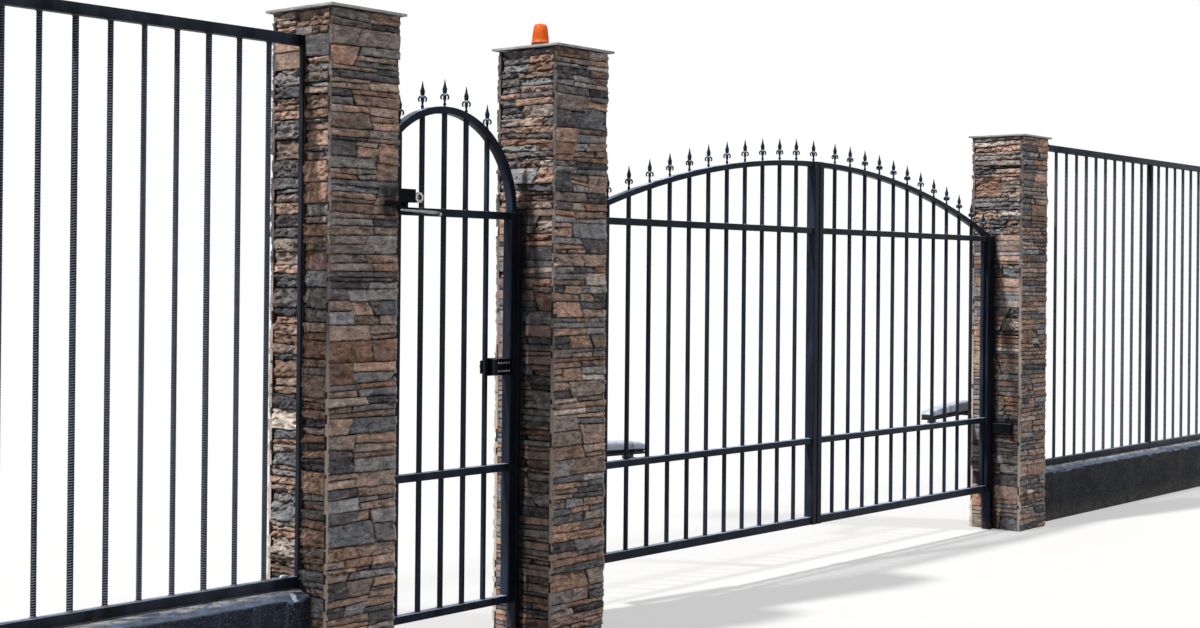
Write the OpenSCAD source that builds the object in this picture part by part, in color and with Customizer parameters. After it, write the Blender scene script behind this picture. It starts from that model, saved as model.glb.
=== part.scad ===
// Gateway of stone pillars with an arched double-leaf driveway gate, an arched
// wicket gate and a bay or two of railings on either side.
// X runs along the gate line, +Y into the yard, +Z up. Millimetres.
// The origin is the middle of the middle pillar's base.

/* [Setting out] */
// Clear width between the pillars of the driveway
driveway_clear = 4400; // [3600:10:5200]
// Clear width between the pillars of the wicket gate
wicket_clear = 1000; // [900:10:1200]
// How far the gates' middle plane lies behind the pillars' middle
gate_y = 45; // [30:1:70]

/* [Pillars] */
// Side of each square pillar
pillar_w = 380; // [340:5:440]
// Height of the stone of the left pillar
left_pillar_h = 2806; // [2600:2:3000]
// Height of the stone of the middle pillar
middle_pillar_h = 2792; // [2600:2:3000]
// Height of the stone of the right pillar
right_pillar_h = 2695; // [2600:5:3000]
// Thickness of the sheet caps
cap_t = 14; // [10:1:30]
// How far the caps reach past the stone
cap_overhang = 21; // [10:1:40]

/* [Warning lamp] */
// Radius of the lamp's base
lamp_r = 46; // [35:1:60]
// Height of the lamp's base
lamp_base_h = 28; // [20:1:40]
// Height of the lamp's lens
lamp_lens_h = 97; // [70:1:120]
// Radius of the lens at its top
lamp_top_r = 31; // [20:1:34]
// The lamp's place on the middle pillar, along and across the gate line
lamp_offset = 45; // [20:1:60]

/* [Driveway leaves] */
// Height of the leaves' underside
leaf_bottom = 260; // [150:5:300]
// Top of the springing rail, where the arch starts
springing_h = 2010; // [1900:5:2150]
// Top of the mid rail
mid_h = 770; // [700:5:850]
// How far the arch's top at the meeting line lies above the springing rail
arch_lift = 390; // [300:5:480]
// How far the arch's outer edge at the hinge stile lies above the springing rail
arch_foot_lift = 15; // [10:1:22]
// Height of the bottom rail
bottom_rail_h = 45; // [35:1:60]
// Height of the mid and springing rails
rail_h = 35; // [25:1:45]
// Depth of the rails
rail_d = 40; // [30:1:44]
// Width of the stiles
stile_w = 40; // [30:1:50]
// Depth of the stiles and their hinge posts
stile_d = 60; // [50:1:70]
// Width of the fixed hinge posts
post_w = 40; // [25:1:50]
// Gap between a hinge post and its stile
hinge_gap = 8; // [6:0.5:12]
// Gap between the two meeting stiles
meeting_gap = 12; // [8:1:20]
// Thickness of the arch
arch_t = 30; // [24:1:40]
// Number of bars in a leaf
leaf_bars = 12; // [10:1:15]
// Clear gap between the meeting stile and the first bar
first_bar_gap = 153; // [110:1:165]
// Clear gap between the last bar and the hinge stile
last_bar_gap = 14; // [10:1:60]

/* [Bars and spear points] */
// Side of the square bars
bar_w = 18; // [14:1:20]
// Height of a spear point above its arch
finial_h = 126; // [100:1:140]

/* [Wicket gate] */
// Height of the wicket's underside
wicket_bottom = 160; // [60:5:220]
// Top of the wicket's mid rail
wicket_mid_h = 820; // [700:5:900]
// Depth of the wicket's stiles and posts
wicket_stile_d = 55; // [48:1:60]
// Width of the wicket's two fixed posts
wicket_post_w = 25; // [20:1:40]
// Gap between the wicket and each of its posts
wicket_gap = 8; // [6:0.5:10]
// Thickness of the wicket's arch
wicket_arch_t = 32; // [24:1:38]
// Depth of the wicket's arch
wicket_arch_d = 45; // [36:1:48]
// Number of bars in the wicket
wicket_bars = 5; // [3:2:5]
// Clear gap between a stile and the nearest bar, where the lock sits
wicket_bar_gap = 138; // [134:1:160]

/* [Hinges] */
// Outer radius of a hinge knuckle
knuckle_r = 10; // [8:0.5:14]
// Radius of a hinge pin
hinge_pin_r = 5; // [4:0.5:6]
// Height of one knuckle
knuckle_h = 50; // [40:1:70]

/* [Lock] */
// Height of the lock body's middle
lock_h = 1281; // [1100:1:1400]
// Width of the lock body
lock_w = 125; // [100:1:130]
// Height of the lock body
lock_body_h = 78; // [70:1:110]
// How far the lock body stands out of its plate
lock_d = 44; // [30:1:60]
// Radius of a lock button
button_r = 5; // [3:0.5:6]
// Distance from button to button
button_pitch = 17; // [14:0.5:20]

/* [Closer] */
// Length of the closer's body
closer_l = 186; // [150:1:200]
// Height of the closer's body
closer_h = 59; // [45:1:70]
// Depth of the closer's body
closer_d = 48; // [36:1:52]
// Distance of the closer's spindle from the hinge, along the wicket
spindle_x = 174; // [150:1:200]
// Distance of the closer's spindle in front of the wicket's middle plane
spindle_y = 53; // [48:1:60]
// Width of the closer's arms
arm_w = 22; // [16:1:26]
// Thickness of the closer's arms
arm_t = 8; // [6:0.5:10]
// Radius of the closer's spindle
spindle_r = 6; // [4:0.5:8]
// Distance of the elbow from the hinge at rest, along the wicket
elbow_x = 337; // [320:1:350]
// Distance of the elbow in front of the wicket's middle plane at rest
elbow_y = 115; // [100:1:130]

/* [Openers] */
// Height of the openers' underside above the mid rail
opener_lift = 10; // [5:1:14]
// Length of an opener in front of its rear pivot
opener_l = 760; // [745:5:840]
// Width of an opener's cover
opener_w = 84; // [70:1:90]
// Height of an opener at its motor end
opener_h = 90; // [80:1:120]
// Height of an opener at its tip
opener_tip_h = 52; // [40:1:70]
// Thickness of an opener's base
opener_base_t = 12; // [10:1:16]
// Distance of the leaf bracket from the hinge, along the leaf
leaf_bracket_x = 555; // [520:5:600]
// Distance of the leaf bracket's eye behind the hinge axis
leaf_bracket_y = 70; // [60:1:80]
// Distance of the rear pivot beyond the hinge axis, along the gate line
rear_pivot_x = 94; // [84:1:110]
// Distance of the rear pivot behind the hinge axis
rear_pivot_y = 170; // [164:1:190]
// Radius of the rear pivot's pin
rear_pin_r = 8; // [6:0.5:10]

/* [Railings] */
// Top of the left railing
left_fence_h = 2700; // [2400:10:2700]
// Top of the right railing
right_fence_h = 2690; // [2400:10:2700]
// Height of the railings' top rail
fence_top_rail_h = 45; // [35:1:60]
// Height of the railings' bottom rail
fence_bottom_rail_h = 42; // [35:1:60]
// Width of the railings' rails and uprights
fence_tube_w = 40; // [30:1:60]
// Gap between the plinth's ridge and the bottom rail
fence_gap = 6; // [4:1:30]
// Width of the flat upright on the left pillar
end_flat_w = 24; // [20:1:40]
// Thickness of the flat upright on the left pillar
end_flat_t = 8; // [6:1:12]
// Diameter of the ribbed bars
rebar_d = 25; // [16:1:30]
// Distance from bar to bar left of the gates
left_pitch = 150; // [120:1:170]
// Number of spaces in the left bay
left_spaces = 14; // [8:1:16]
// Distance from bar to bar right of the gates
right_pitch = 170; // [120:1:180]
// Number of spaces in each right bay
right_spaces = 13; // [8:1:14]
// Height of the left plinth's ridge
left_plinth_h = 409; // [320:1:520]
// Height of the right plinth's ridge
right_plinth_h = 374; // [320:1:520]
// Fall of the plinths' tops from the ridge to the edge
plinth_fall = 24; // [10:1:40]
// Width of the plinths' flat ridge
plinth_ridge_w = 64; // [60:1:100]
// Thickness of the plinths
plinth_t = 200; // [160:5:260]

/* [Hidden] */
// Facets of round pieces and of the large arch
$fn = 48;
arch_fn = 720;
wicket_arch_fn = 240;
// Clearance of a hinge pin in its knuckle, and of a larger pin in its eye
pin_clear = 0.1;
eye_clear = 0.2;
// Running clearance between pieces that slide or turn on each other
run_clear = 0.3;
// How far a cutting shape reaches past what it cuts
past = 1;

// Places of the pillars' middles along the gate line
left_pillar_x = -pillar_w - wicket_clear;
right_pillar_x = pillar_w + driveway_clear;
// Middle of the driveway, and half its clear width
drive_mid_x = (pillar_w + driveway_clear) / 2;
drive_half = driveway_clear / 2;

// Driveway leaf, as distances from the meeting line
stile_out = drive_half - post_w - hinge_gap;
stile_in = meeting_gap / 2;
leaf_axis_u = drive_half - post_w - hinge_gap / 2;
leaf_axis_y = gate_y + stile_d / 2 + knuckle_r;
arch_top = springing_h + arch_lift;
arch_rise = arch_lift - arch_foot_lift;
arch_r = (pow(stile_out, 2) + pow(arch_rise, 2)) / (2 * arch_rise);
bar_top = arch_top - arch_t;
first_bar_u = stile_in + stile_w + first_bar_gap + bar_w / 2;
last_bar_u = stile_out - stile_w - last_bar_gap - bar_w / 2;
bar_pitch = (last_bar_u - first_bar_u) / (leaf_bars - 1);
low_knuckle_up = 240;
high_knuckle_down = 230;
leaf_knuckles = [leaf_bottom + low_knuckle_up, springing_h - high_knuckle_down];
knuckle_pin_h = knuckle_h - 5;
web_l = 24;
web_t = 8;

// Wicket leaf
wicket_mid_x = -(pillar_w + wicket_clear) / 2;
wicket_half = wicket_clear / 2 - wicket_post_w - wicket_gap;
wicket_axis_x = wicket_mid_x - wicket_half - wicket_gap / 2;
wicket_axis_y = gate_y + wicket_stile_d / 2 + knuckle_r;
wicket_knuckles = [wicket_bottom + low_knuckle_up, springing_h - high_knuckle_down];
wicket_post_h = springing_h + 6;
wicket_pitch = 2 * (wicket_half - stile_w - wicket_bar_gap - bar_w / 2) / (wicket_bars - 1);

// Lock
lock_plate_t = 6;
lock_x0 = wicket_mid_x + (wicket_bars - 1) / 2 * wicket_pitch + bar_w / 2;
lock_x1 = wicket_mid_x + wicket_half - stile_w;
lock_mid_x = (lock_x0 + lock_x1) / 2;
lock_plate_h = lock_body_h + 6;
lock_inner_plate_w = 165;
lock_inner_plate_h = 62;
handle_r = 9;
handle_l = 95;
button_out = 4;
button_rows = [-19, 19];
buttons_in_row = 5;

// Closer: spindle on the wicket, shoe on the pillar, elbow between
closer_plate_t = 6;
closer_y1 = gate_y - bar_w / 2 - closer_plate_t;
closer_z0 = springing_h + 20;
closer_x1 = wicket_axis_x + spindle_x + 62;
plug_flats = 46;
plug_d = 42;
plug_bore_r = 13;
plug_bore_d = 12;
spindle = [wicket_axis_x + spindle_x, gate_y - spindle_y];
elbow = [wicket_axis_x + elbow_x, gate_y - elbow_y];
shoe = [left_pillar_x + pillar_w / 2 + 40, -pillar_w / 2 + 40];
arm_z = closer_z0 - 34;
forearm_z = arm_z - arm_t - 2;
shoe_plate_t = 6;
shoe_plate_h = 34;
shoe_plate_l = 80;
strap_l = 80;
strap_h = 19;
shoe_pin_r = 5;
elbow_ball_r = 9;

// Opener: rear pivot and leaf bracket, as distances from the meeting line
rear_pivot = [leaf_axis_u + rear_pivot_x, leaf_axis_y + rear_pivot_y];
leaf_eye = [leaf_axis_u - leaf_bracket_x, leaf_axis_y + leaf_bracket_y];
opener_vector = leaf_eye - rear_pivot;
opener_reach = norm(opener_vector);
opener_turn = atan2(opener_vector[1], opener_vector[0]);
opener_z = mid_h + opener_lift;
opener_tail = 30;
opener_nose_l = 70;
opener_nose_r = 16;
opener_crown = 4;
carriage_w = 44;
carriage_z0 = opener_z - 15.4;
carriage_neck_w = 14;
slot_w = 18;
slot_x0 = 330;
slot_x1 = 710;
bracket_t = 8;
rear_tongue_z = opener_z - 14;
rear_plate_t = 6;
leaf_tongue_z = carriage_z0 - 0.6 - bracket_t;

// Fixed box beside the right hinge post
side_box_z = 668;
side_box_h = 62;
side_box_l = 142;

// Railings
left_fence_x = left_pillar_x - pillar_w / 2;
right_fence_x = right_pillar_x + pillar_w / 2;
right_bays = 2;

// A box from its low corner to its high corner
module block(low, high) {
    translate(low) cube(high - low);
}

// A box of depth d about the gates' middle plane
module bar(x0, x1, z0, z1, d) {
    block([x0, gate_y - d / 2, z0], [x1, gate_y + d / 2, z1]);
}

// A disc that stands on edge across the gates' middle plane
module disc(r, d, fn) {
    translate([0, gate_y + d / 2, 0]) rotate([90, 0, 0]) cylinder(r = r, h = d, $fn = fn);
}

// Puts a piece of the driveway gate on its side: 1 is right, -1 is left
module on_side(side) {
    translate([drive_mid_x, 0, 0]) mirror([side < 0 ? 1 : 0, 0, 0]) children();
}

module pillar(x, h) {
    color("rosybrown")
        block([x - pillar_w / 2, -pillar_w / 2, 0], [x + pillar_w / 2, pillar_w / 2, h]);
}

module pillar_cap(x, h) {
    half = pillar_w / 2 + cap_overhang;
    block([x - half, -half, h], [x + half, half, h + cap_t]);
}

module pillar_caps() {
    color("lightgray") {
        pillar_cap(left_pillar_x, left_pillar_h);
        pillar_cap(0, middle_pillar_h);
        pillar_cap(right_pillar_x, right_pillar_h);
    }
}

module lamp_base() {
    color("dimgray") translate([-lamp_offset, lamp_offset, middle_pillar_h + cap_t])
        cylinder(r = lamp_r, h = lamp_base_h);
}

module lamp_lens() {
    color("darkorange") translate([-lamp_offset, lamp_offset, middle_pillar_h + cap_t + lamp_base_h])
        cylinder(r1 = lamp_r - 2, r2 = lamp_top_r, h = lamp_lens_h);
}

// Plinth wall from the pillar outwards, over the given length, its top falling from a flat ridge
module plinth(x, dir, length, h) {
    x_far = x + dir * length;
    low = h - plinth_fall;
    color("dimgray") translate([min(x, x_far), 0, 0]) rotate([90, 0, 90]) linear_extrude(length)
        polygon([[-plinth_t / 2, 0], [plinth_t / 2, 0], [plinth_t / 2, low], [plinth_ridge_w / 2, h],
                 [-plinth_ridge_w / 2, h], [-plinth_t / 2, low]]);
}

// A tube of the railings from x0 to x1, whichever way round
module fence_tube(x0, x1, z0, z1) {
    block([min(x0, x1), -fence_tube_w / 2, z0], [max(x0, x1), fence_tube_w / 2, z1]);
}

// Rails, uprights and the round bars welded between the rails. The first upright is a tube, or a
// flat against the pillar.
module railing(x, dir, pitch, spaces, bays, plinth_h, top, flat_end) {
    bay = pitch * spaces;
    length = bay * bays + fence_tube_w;
    bottom = plinth_h + fence_gap;
    bar_z0 = bottom + fence_bottom_rail_h;
    color("darkslategray") union() {
        fence_tube(x, x + dir * length, top - fence_top_rail_h, top);
        fence_tube(x, x + dir * length, bottom, bar_z0);
        if (flat_end) {
            x_in = x + dir * end_flat_t;
            block([min(x, x_in), -fence_tube_w / 2, plinth_h],
                  [max(x, x_in), end_flat_w - fence_tube_w / 2, top]);
        }
        for (i = [(flat_end ? 1 : 0):bays])
            fence_tube(x + dir * i * bay, x + dir * (i * bay + fence_tube_w), plinth_h, top);
        for (i = [0:bays - 1], k = [1:spaces - 1])
            translate([x + dir * (fence_tube_w / 2 + (i * spaces + k) * pitch), 0, bar_z0])
                cylinder(d = rebar_d, h = top - fence_top_rail_h - bar_z0);
    }
}

// Fixed lower halves of the hinges: knuckle, pin and web on the post's back
module fixed_knuckles(heights, axis_x, axis_y, dir) {
    for (z = heights) {
        translate([axis_x, axis_y, z]) cylinder(r = knuckle_r, h = knuckle_h);
        translate([axis_x, axis_y, z]) cylinder(r = hinge_pin_r, h = knuckle_h + knuckle_pin_h);
        block([min(axis_x, axis_x + dir * web_l), axis_y - knuckle_r, z],
              [max(axis_x, axis_x + dir * web_l), axis_y - knuckle_r + web_t, z + knuckle_h]);
    }
}

// Moving upper halves of the hinges, without their bores
module moving_knuckles(heights, axis_x, axis_y, dir) {
    for (z = heights) {
        z0 = z + knuckle_h + run_clear;
        translate([axis_x, axis_y, z0]) cylinder(r = knuckle_r, h = knuckle_h);
        block([min(axis_x, axis_x + dir * web_l), axis_y - knuckle_r, z0],
              [max(axis_x, axis_x + dir * web_l), axis_y - knuckle_r + web_t, z0 + knuckle_h]);
    }
}

module knuckle_bores(heights, axis_x, axis_y) {
    for (z = heights)
        translate([axis_x, axis_y, z + knuckle_h])
            cylinder(r = hinge_pin_r + pin_clear, h = knuckle_h + past);
}

// Spear point: foot, turned baluster and a leaf-shaped blade
module spear() {
    foot = 14;
    shaft_top = 0.42 * finial_h;
    translate([0, 0, -foot]) cylinder(r = 8, h = foot + 6, $fn = 24);
    rotate_extrude($fn = 24)
        polygon([[0, 6], [8, 6], [11, 12], [8, 18], [5, 24], [9, 32], [11, 38], [7, shaft_top],
                 [0, shaft_top]]);
    translate([0, 4, shaft_top]) rotate([90, 0, 0]) linear_extrude(8)
        polygon([[-6, 0], [6, 0], [14, 18], [11, 34], [0, finial_h - shaft_top], [-11, 34],
                 [-14, 18]]);
}

// Driveway leaf. Every piece is drawn as the right leaf's, from the meeting line.
function leaf_bar_u(k) = first_bar_u + (k - 1) * bar_pitch;

module leaf_bar_boxes(top) {
    for (k = [1:leaf_bars])
        bar(leaf_bar_u(k) - bar_w / 2, leaf_bar_u(k) + bar_w / 2, leaf_bottom + bottom_rail_h, top,
            bar_w);
}

module leaf_stiles() {
    color("black") difference() {
        union() {
            bar(stile_in, stile_in + stile_w, leaf_bottom, arch_top, stile_d);
            bar(stile_out - stile_w, stile_out, leaf_bottom, springing_h, stile_d);
            moving_knuckles(leaf_knuckles, leaf_axis_u, leaf_axis_y, -1);
        }
        knuckle_bores(leaf_knuckles, leaf_axis_u, leaf_axis_y);
    }
}

module leaf_rails() {
    u0 = stile_in + stile_w;
    u1 = stile_out - stile_w;
    color("black") difference() {
        union() {
            bar(u0, u1, leaf_bottom, leaf_bottom + bottom_rail_h, rail_d);
            bar(u0, u1, mid_h - rail_h, mid_h, rail_d);
            bar(u0, u1, springing_h - rail_h, springing_h, rail_d);
        }
        leaf_bar_boxes(bar_top);
    }
}

module leaf_arch() {
    color("black") intersection() {
        translate([0, 0, arch_top - arch_r]) difference() {
            disc(arch_r, rail_d, arch_fn);
            disc(arch_r - arch_t, rail_d + 2 * past, arch_fn);
        }
        bar(stile_in + stile_w, stile_out, springing_h, arch_top + past, rail_d + 2 * past);
    }
}

module leaf_bar_set() {
    color("black") intersection() {
        leaf_bar_boxes(bar_top);
        translate([0, 0, arch_top - arch_r]) disc(arch_r - arch_t, rail_d, arch_fn);
    }
}

// Height of the arch's outer edge at a distance from the meeting line
function arch_z(u) = arch_top - arch_r + sqrt(arch_r * arch_r - u * u);

module leaf_spears() {
    color("black") difference() {
        for (k = [1:leaf_bars])
            translate([leaf_bar_u(k), gate_y, arch_z(leaf_bar_u(k))]) spear();
        translate([0, 0, arch_top - arch_r]) disc(arch_r, rail_d, arch_fn);
    }
}

// The spear over the left leaf's meeting stile
module stile_spear() {
    color("black") intersection() {
        translate([stile_in + stile_w / 2, gate_y, arch_top]) spear();
        bar(stile_in, stile_in + stile_w, arch_top, arch_top + finial_h + past, stile_d);
    }
}

module hinge_post() {
    color("black") union() {
        bar(drive_half - post_w, drive_half, 0, springing_h, stile_d);
        fixed_knuckles(leaf_knuckles, leaf_axis_u, leaf_axis_y, 1);
    }
}

// Bracket on the back of the mid rail, under the opener's carriage
module leaf_bracket() {
    back = gate_y + rail_d / 2;
    color("black") union() {
        block([leaf_eye[0] - 60, back, mid_h - rail_h], [leaf_eye[0] + 60, back + bracket_t, mid_h]);
        block([leaf_eye[0] - carriage_w / 2, back, leaf_tongue_z],
              [leaf_eye[0] + carriage_w / 2, leaf_eye[1] + carriage_w / 2, leaf_tongue_z + bracket_t]);
    }
}

// Bracket on the back of the pillar, with the opener's pivot pin
module rear_bracket() {
    back = pillar_w / 2;
    u0 = rear_pivot[0] - 35;
    u1 = rear_pivot[0] + 35;
    color("gray") union() {
        block([u0, back, rear_tongue_z - 60], [u1, back + rear_plate_t, rear_tongue_z + 60]);
        block([rear_pivot[0] - 22, back, rear_tongue_z],
              [rear_pivot[0] + 22, rear_pivot[1] + 22, rear_tongue_z + bracket_t]);
        translate([rear_pivot[0], rear_pivot[1], rear_tongue_z])
            cylinder(r = rear_pin_r, h = opener_z + opener_base_t - 0.5 - rear_tongue_z);
    }
}

// Opener's own frame: the rear pivot is the origin and +X runs to the tip
module at_opener() {
    translate([rear_pivot[0], rear_pivot[1], 0]) rotate([0, 0, opener_turn]) children();
}

module opener_base() {
    color("dimgray") at_opener() difference() {
        block([-opener_tail, -opener_w / 2 + 3, opener_z],
              [opener_l - 10, opener_w / 2 - 3, opener_z + opener_base_t]);
        block([slot_x0, -slot_w / 2, opener_z - past],
              [slot_x1, slot_w / 2, opener_z + opener_base_t + past]);
        translate([0, 0, opener_z - past])
            cylinder(r = rear_pin_r + eye_clear, h = opener_base_t + 2 * past);
    }
}

module opener_cover() {
    z0 = opener_z + opener_base_t;
    h0 = opener_h - opener_base_t;
    h1 = opener_tip_h - opener_base_t;
    color("gainsboro") at_opener() translate([0, opener_w / 2, z0]) rotate([90, 0, 0])
        linear_extrude(opener_w)
            polygon([[-opener_tail, 0], [opener_l, 0], [opener_l, h1 - opener_nose_r],
                     [opener_l - 0.3 * opener_nose_r, h1 - 0.45 * opener_nose_r],
                     [opener_l - opener_nose_r, h1 - opener_crown], [opener_l - opener_nose_l, h1],
                     [0.45 * opener_l, h0 - opener_crown], [0.3 * opener_l, h0], [0, h0],
                     [-opener_tail + 6, h0 - 6], [-opener_tail, h0 - 20]]);
}

module opener_carriage() {
    color("black") at_opener() union() {
        block([opener_reach - carriage_w / 2, -carriage_w / 2, carriage_z0],
              [opener_reach + carriage_w / 2, carriage_w / 2, opener_z - run_clear]);
        block([opener_reach - carriage_w / 2, -carriage_neck_w / 2, carriage_z0],
              [opener_reach + carriage_w / 2, carriage_neck_w / 2, opener_z + opener_base_t - 2]);
    }
}

// Wicket gate
function wicket_bar_x(k) = wicket_mid_x + (k - (wicket_bars + 1) / 2) * wicket_pitch;

module wicket_bar_boxes(top) {
    for (k = [1:wicket_bars])
        bar(wicket_bar_x(k) - bar_w / 2, wicket_bar_x(k) + bar_w / 2, wicket_bottom + rail_h, top,
            bar_w);
}

module wicket_disc(r, d) {
    translate([wicket_mid_x, 0, springing_h]) disc(r, d, wicket_arch_fn);
}

module wicket_stiles() {
    color("black") difference() {
        union() {
            for (side = [-1, 1]) {
                x_out = wicket_mid_x + side * wicket_half;
                x_in = x_out - side * stile_w;
                bar(min(x_in, x_out), max(x_in, x_out), wicket_bottom, springing_h, wicket_stile_d);
            }
            moving_knuckles(wicket_knuckles, wicket_axis_x, wicket_axis_y, 1);
        }
        knuckle_bores(wicket_knuckles, wicket_axis_x, wicket_axis_y);
    }
}

module wicket_rails() {
    x0 = wicket_mid_x - wicket_half + stile_w;
    x1 = wicket_mid_x + wicket_half - stile_w;
    color("black") difference() {
        union() {
            for (top = [wicket_bottom + rail_h, wicket_mid_h, springing_h])
                bar(x0, x1, top - rail_h, top, rail_d);
        }
        wicket_bar_boxes(springing_h + past);
    }
}

module wicket_arch() {
    color("black") intersection() {
        difference() {
            wicket_disc(wicket_half, wicket_arch_d);
            wicket_disc(wicket_half - wicket_arch_t, wicket_arch_d + 2 * past);
        }
        bar(wicket_mid_x - wicket_half - past, wicket_mid_x + wicket_half + past, springing_h,
            springing_h + wicket_half + past, wicket_arch_d + 2 * past);
    }
}

module wicket_bar_set() {
    color("black") intersection() {
        wicket_bar_boxes(springing_h + wicket_half);
        union() {
            wicket_disc(wicket_half - wicket_arch_t, rail_d);
            bar(wicket_mid_x - wicket_half, wicket_mid_x + wicket_half, 0, springing_h, rail_d);
        }
    }
}

module wicket_spears() {
    color("black") difference() {
        for (k = [1:wicket_bars]) {
            dx = wicket_bar_x(k) - wicket_mid_x;
            translate([wicket_bar_x(k), gate_y, springing_h + sqrt(pow(wicket_half, 2) - pow(dx, 2))])
                spear();
        }
        wicket_disc(wicket_half, rail_d);
    }
}

module wicket_hinge_post() {
    x0 = left_pillar_x + pillar_w / 2;
    color("black") union() {
        bar(x0, x0 + wicket_post_w, 0, wicket_post_h, wicket_stile_d);
        fixed_knuckles(wicket_knuckles, wicket_axis_x, wicket_axis_y, -1);
    }
}

module wicket_latch_post() {
    color("black")
        bar(-pillar_w / 2 - wicket_post_w, -pillar_w / 2, 0, wicket_post_h, wicket_stile_d);
}

// Plate between the last bar and the latch stile, with the inner plate and lever
module lock_plate() {
    front = gate_y - lock_plate_t / 2;
    back = gate_y + bar_w / 2;
    color("black") union() {
        block([lock_x0, front, lock_h - lock_plate_h / 2],
              [lock_x1, front + lock_plate_t, lock_h + lock_plate_h / 2]);
        block([lock_mid_x - lock_w / 2, front, lock_h - lock_inner_plate_h / 2],
              [lock_mid_x + lock_w / 2, back, lock_h + lock_inner_plate_h / 2]);
        block([lock_x1 - lock_inner_plate_w, back, lock_h - lock_inner_plate_h / 2],
              [lock_x1, back + lock_plate_t, lock_h + lock_inner_plate_h / 2]);
        translate([lock_mid_x + 30, back + 40, lock_h]) rotate([90, 0, 0])
            cylinder(r = handle_r, h = 40);
        translate([lock_mid_x + 30 + handle_r, back + 40, lock_h]) rotate([0, -90, 0])
            cylinder(r = handle_r - 1, h = handle_l);
    }
}

module lock_body() {
    front = gate_y - lock_plate_t / 2;
    color("dimgray") union() {
        block([lock_mid_x - lock_w / 2, front - lock_d, lock_h - lock_body_h / 2],
              [lock_mid_x + lock_w / 2, front, lock_h + lock_body_h / 2]);
        for (dz = button_rows, i = [0:buttons_in_row - 1])
            translate([lock_mid_x + (i - (buttons_in_row - 1) / 2) * button_pitch, front - lock_d + past,
                       lock_h + dz])
                rotate([90, 0, 0]) cylinder(r = button_r, h = button_out + past, $fn = 24);
    }
}

// Plate that carries the closer, standing on the springing rail against a bar
module closer_plate() {
    color("black")
        block([closer_x1 - closer_l, closer_y1, springing_h],
              [closer_x1, closer_y1 + closer_plate_t, closer_z0 + closer_h]);
}

module closer_body() {
    color("black") union() {
        block([closer_x1 - closer_l, closer_y1 - closer_d, closer_z0],
              [closer_x1, closer_y1, closer_z0 + closer_h]);
        translate([spindle[0], spindle[1], closer_z0 - 8]) cylinder(r = 2 * spindle_r, h = 8);
        translate([spindle[0], spindle[1], arm_z - 1]) cylinder(r = spindle_r, h = closer_z0 - arm_z + 1);
    }
}

// Eight-sided light plug at the closer's end, open to the street
module closer_plug() {
    x = closer_x1 + plug_flats / 2;
    z = closer_z0 + closer_h / 2 - 6;
    color("silver") translate([x, closer_y1 - closer_d + plug_d, z]) rotate([90, 0, 0]) difference() {
        rotate([0, 0, 22.5]) cylinder(r = plug_flats / 2 / cos(22.5), h = plug_d, $fn = 8);
        translate([0, 0, plug_d - plug_bore_d]) cylinder(r = plug_bore_r, h = plug_bore_d + past);
    }
}

// Flat arm with round ends from one point to another
module flat_arm(from, to, z) {
    reach = to - from;
    translate([from[0], from[1], z]) rotate([0, 0, atan2(reach[1], reach[0])]) union() {
        block([0, -arm_w / 2, 0], [norm(reach), arm_w / 2, arm_t]);
        cylinder(d = arm_w, h = arm_t);
        translate([norm(reach), 0, 0]) cylinder(d = arm_w, h = arm_t);
    }
}

module closer_arm() {
    color("silver") difference() {
        flat_arm(spindle, elbow, arm_z);
        translate([spindle[0], spindle[1], arm_z - past])
            cylinder(r = spindle_r + eye_clear, h = arm_t + 2 * past);
    }
}

module closer_forearm() {
    color("silver") difference() {
        union() {
            flat_arm(shoe, elbow, forearm_z);
            translate([elbow[0], elbow[1], forearm_z - elbow_ball_r + 2])
                sphere(r = elbow_ball_r, $fn = 32);
        }
        translate([shoe[0], shoe[1], forearm_z - past])
            cylinder(r = shoe_pin_r + eye_clear, h = arm_t + 2 * past);
    }
}

// Angle on the pillar's corner that holds the forearm's far end
module closer_shoe() {
    face = left_pillar_x + pillar_w / 2;
    front = -pillar_w / 2;
    z1 = arm_z + arm_t;
    color("black") union() {
        block([face, front - shoe_plate_t, z1 - shoe_plate_h],
              [face + shoe_plate_t, front + shoe_plate_l, z1 + strap_h]);
        block([face - strap_l, front - shoe_plate_t, z1], [face + shoe_plate_t, front, z1 + strap_h]);
        block([face, shoe[1] - 14, arm_z], [shoe[0] + 14, shoe[1] + 14, z1]);
        translate([shoe[0], shoe[1], forearm_z - 3]) cylinder(r = shoe_pin_r, h = arm_z - forearm_z + 4);
    }
}

// Short closed tube beside the right hinge post
module side_box() {
    front = gate_y - stile_d / 2;
    color("black")
        on_side(1) block([drive_half - post_w, front - side_box_l, side_box_z],
                         [drive_half, front, side_box_z + side_box_h]);
}

pillar(left_pillar_x, left_pillar_h);  // left_pillar
pillar(0, middle_pillar_h);  // middle_pillar
pillar(right_pillar_x, right_pillar_h);  // right_pillar
pillar_caps();
lamp_base();
lamp_lens();
plinth(left_fence_x, -1, left_pitch * left_spaces + fence_tube_w, left_plinth_h);  // left_plinth
railing(left_fence_x, -1, left_pitch, left_spaces, 1, left_plinth_h, left_fence_h, true);  // left_railing
plinth(right_fence_x, 1, right_pitch * right_spaces * right_bays + fence_tube_w, right_plinth_h);  // right_plinth
railing(right_fence_x, 1, right_pitch, right_spaces, right_bays, right_plinth_h,  // right_railing
            right_fence_h, false);
wicket_hinge_post();
wicket_latch_post();
wicket_stiles();
wicket_rails();
wicket_arch();
wicket_bar_set();
wicket_spears();
lock_plate();
lock_body();
closer_plate();
closer_body();
closer_plug();
closer_arm();
closer_forearm();
closer_shoe();
on_side(-1) hinge_post();  // left_hinge_post
on_side(-1) leaf_stiles();  // left_leaf_stiles
on_side(-1) leaf_rails();  // left_leaf_rails
on_side(-1) leaf_arch();  // left_leaf_arch
on_side(-1) leaf_bar_set();  // left_leaf_bar_set
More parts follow.
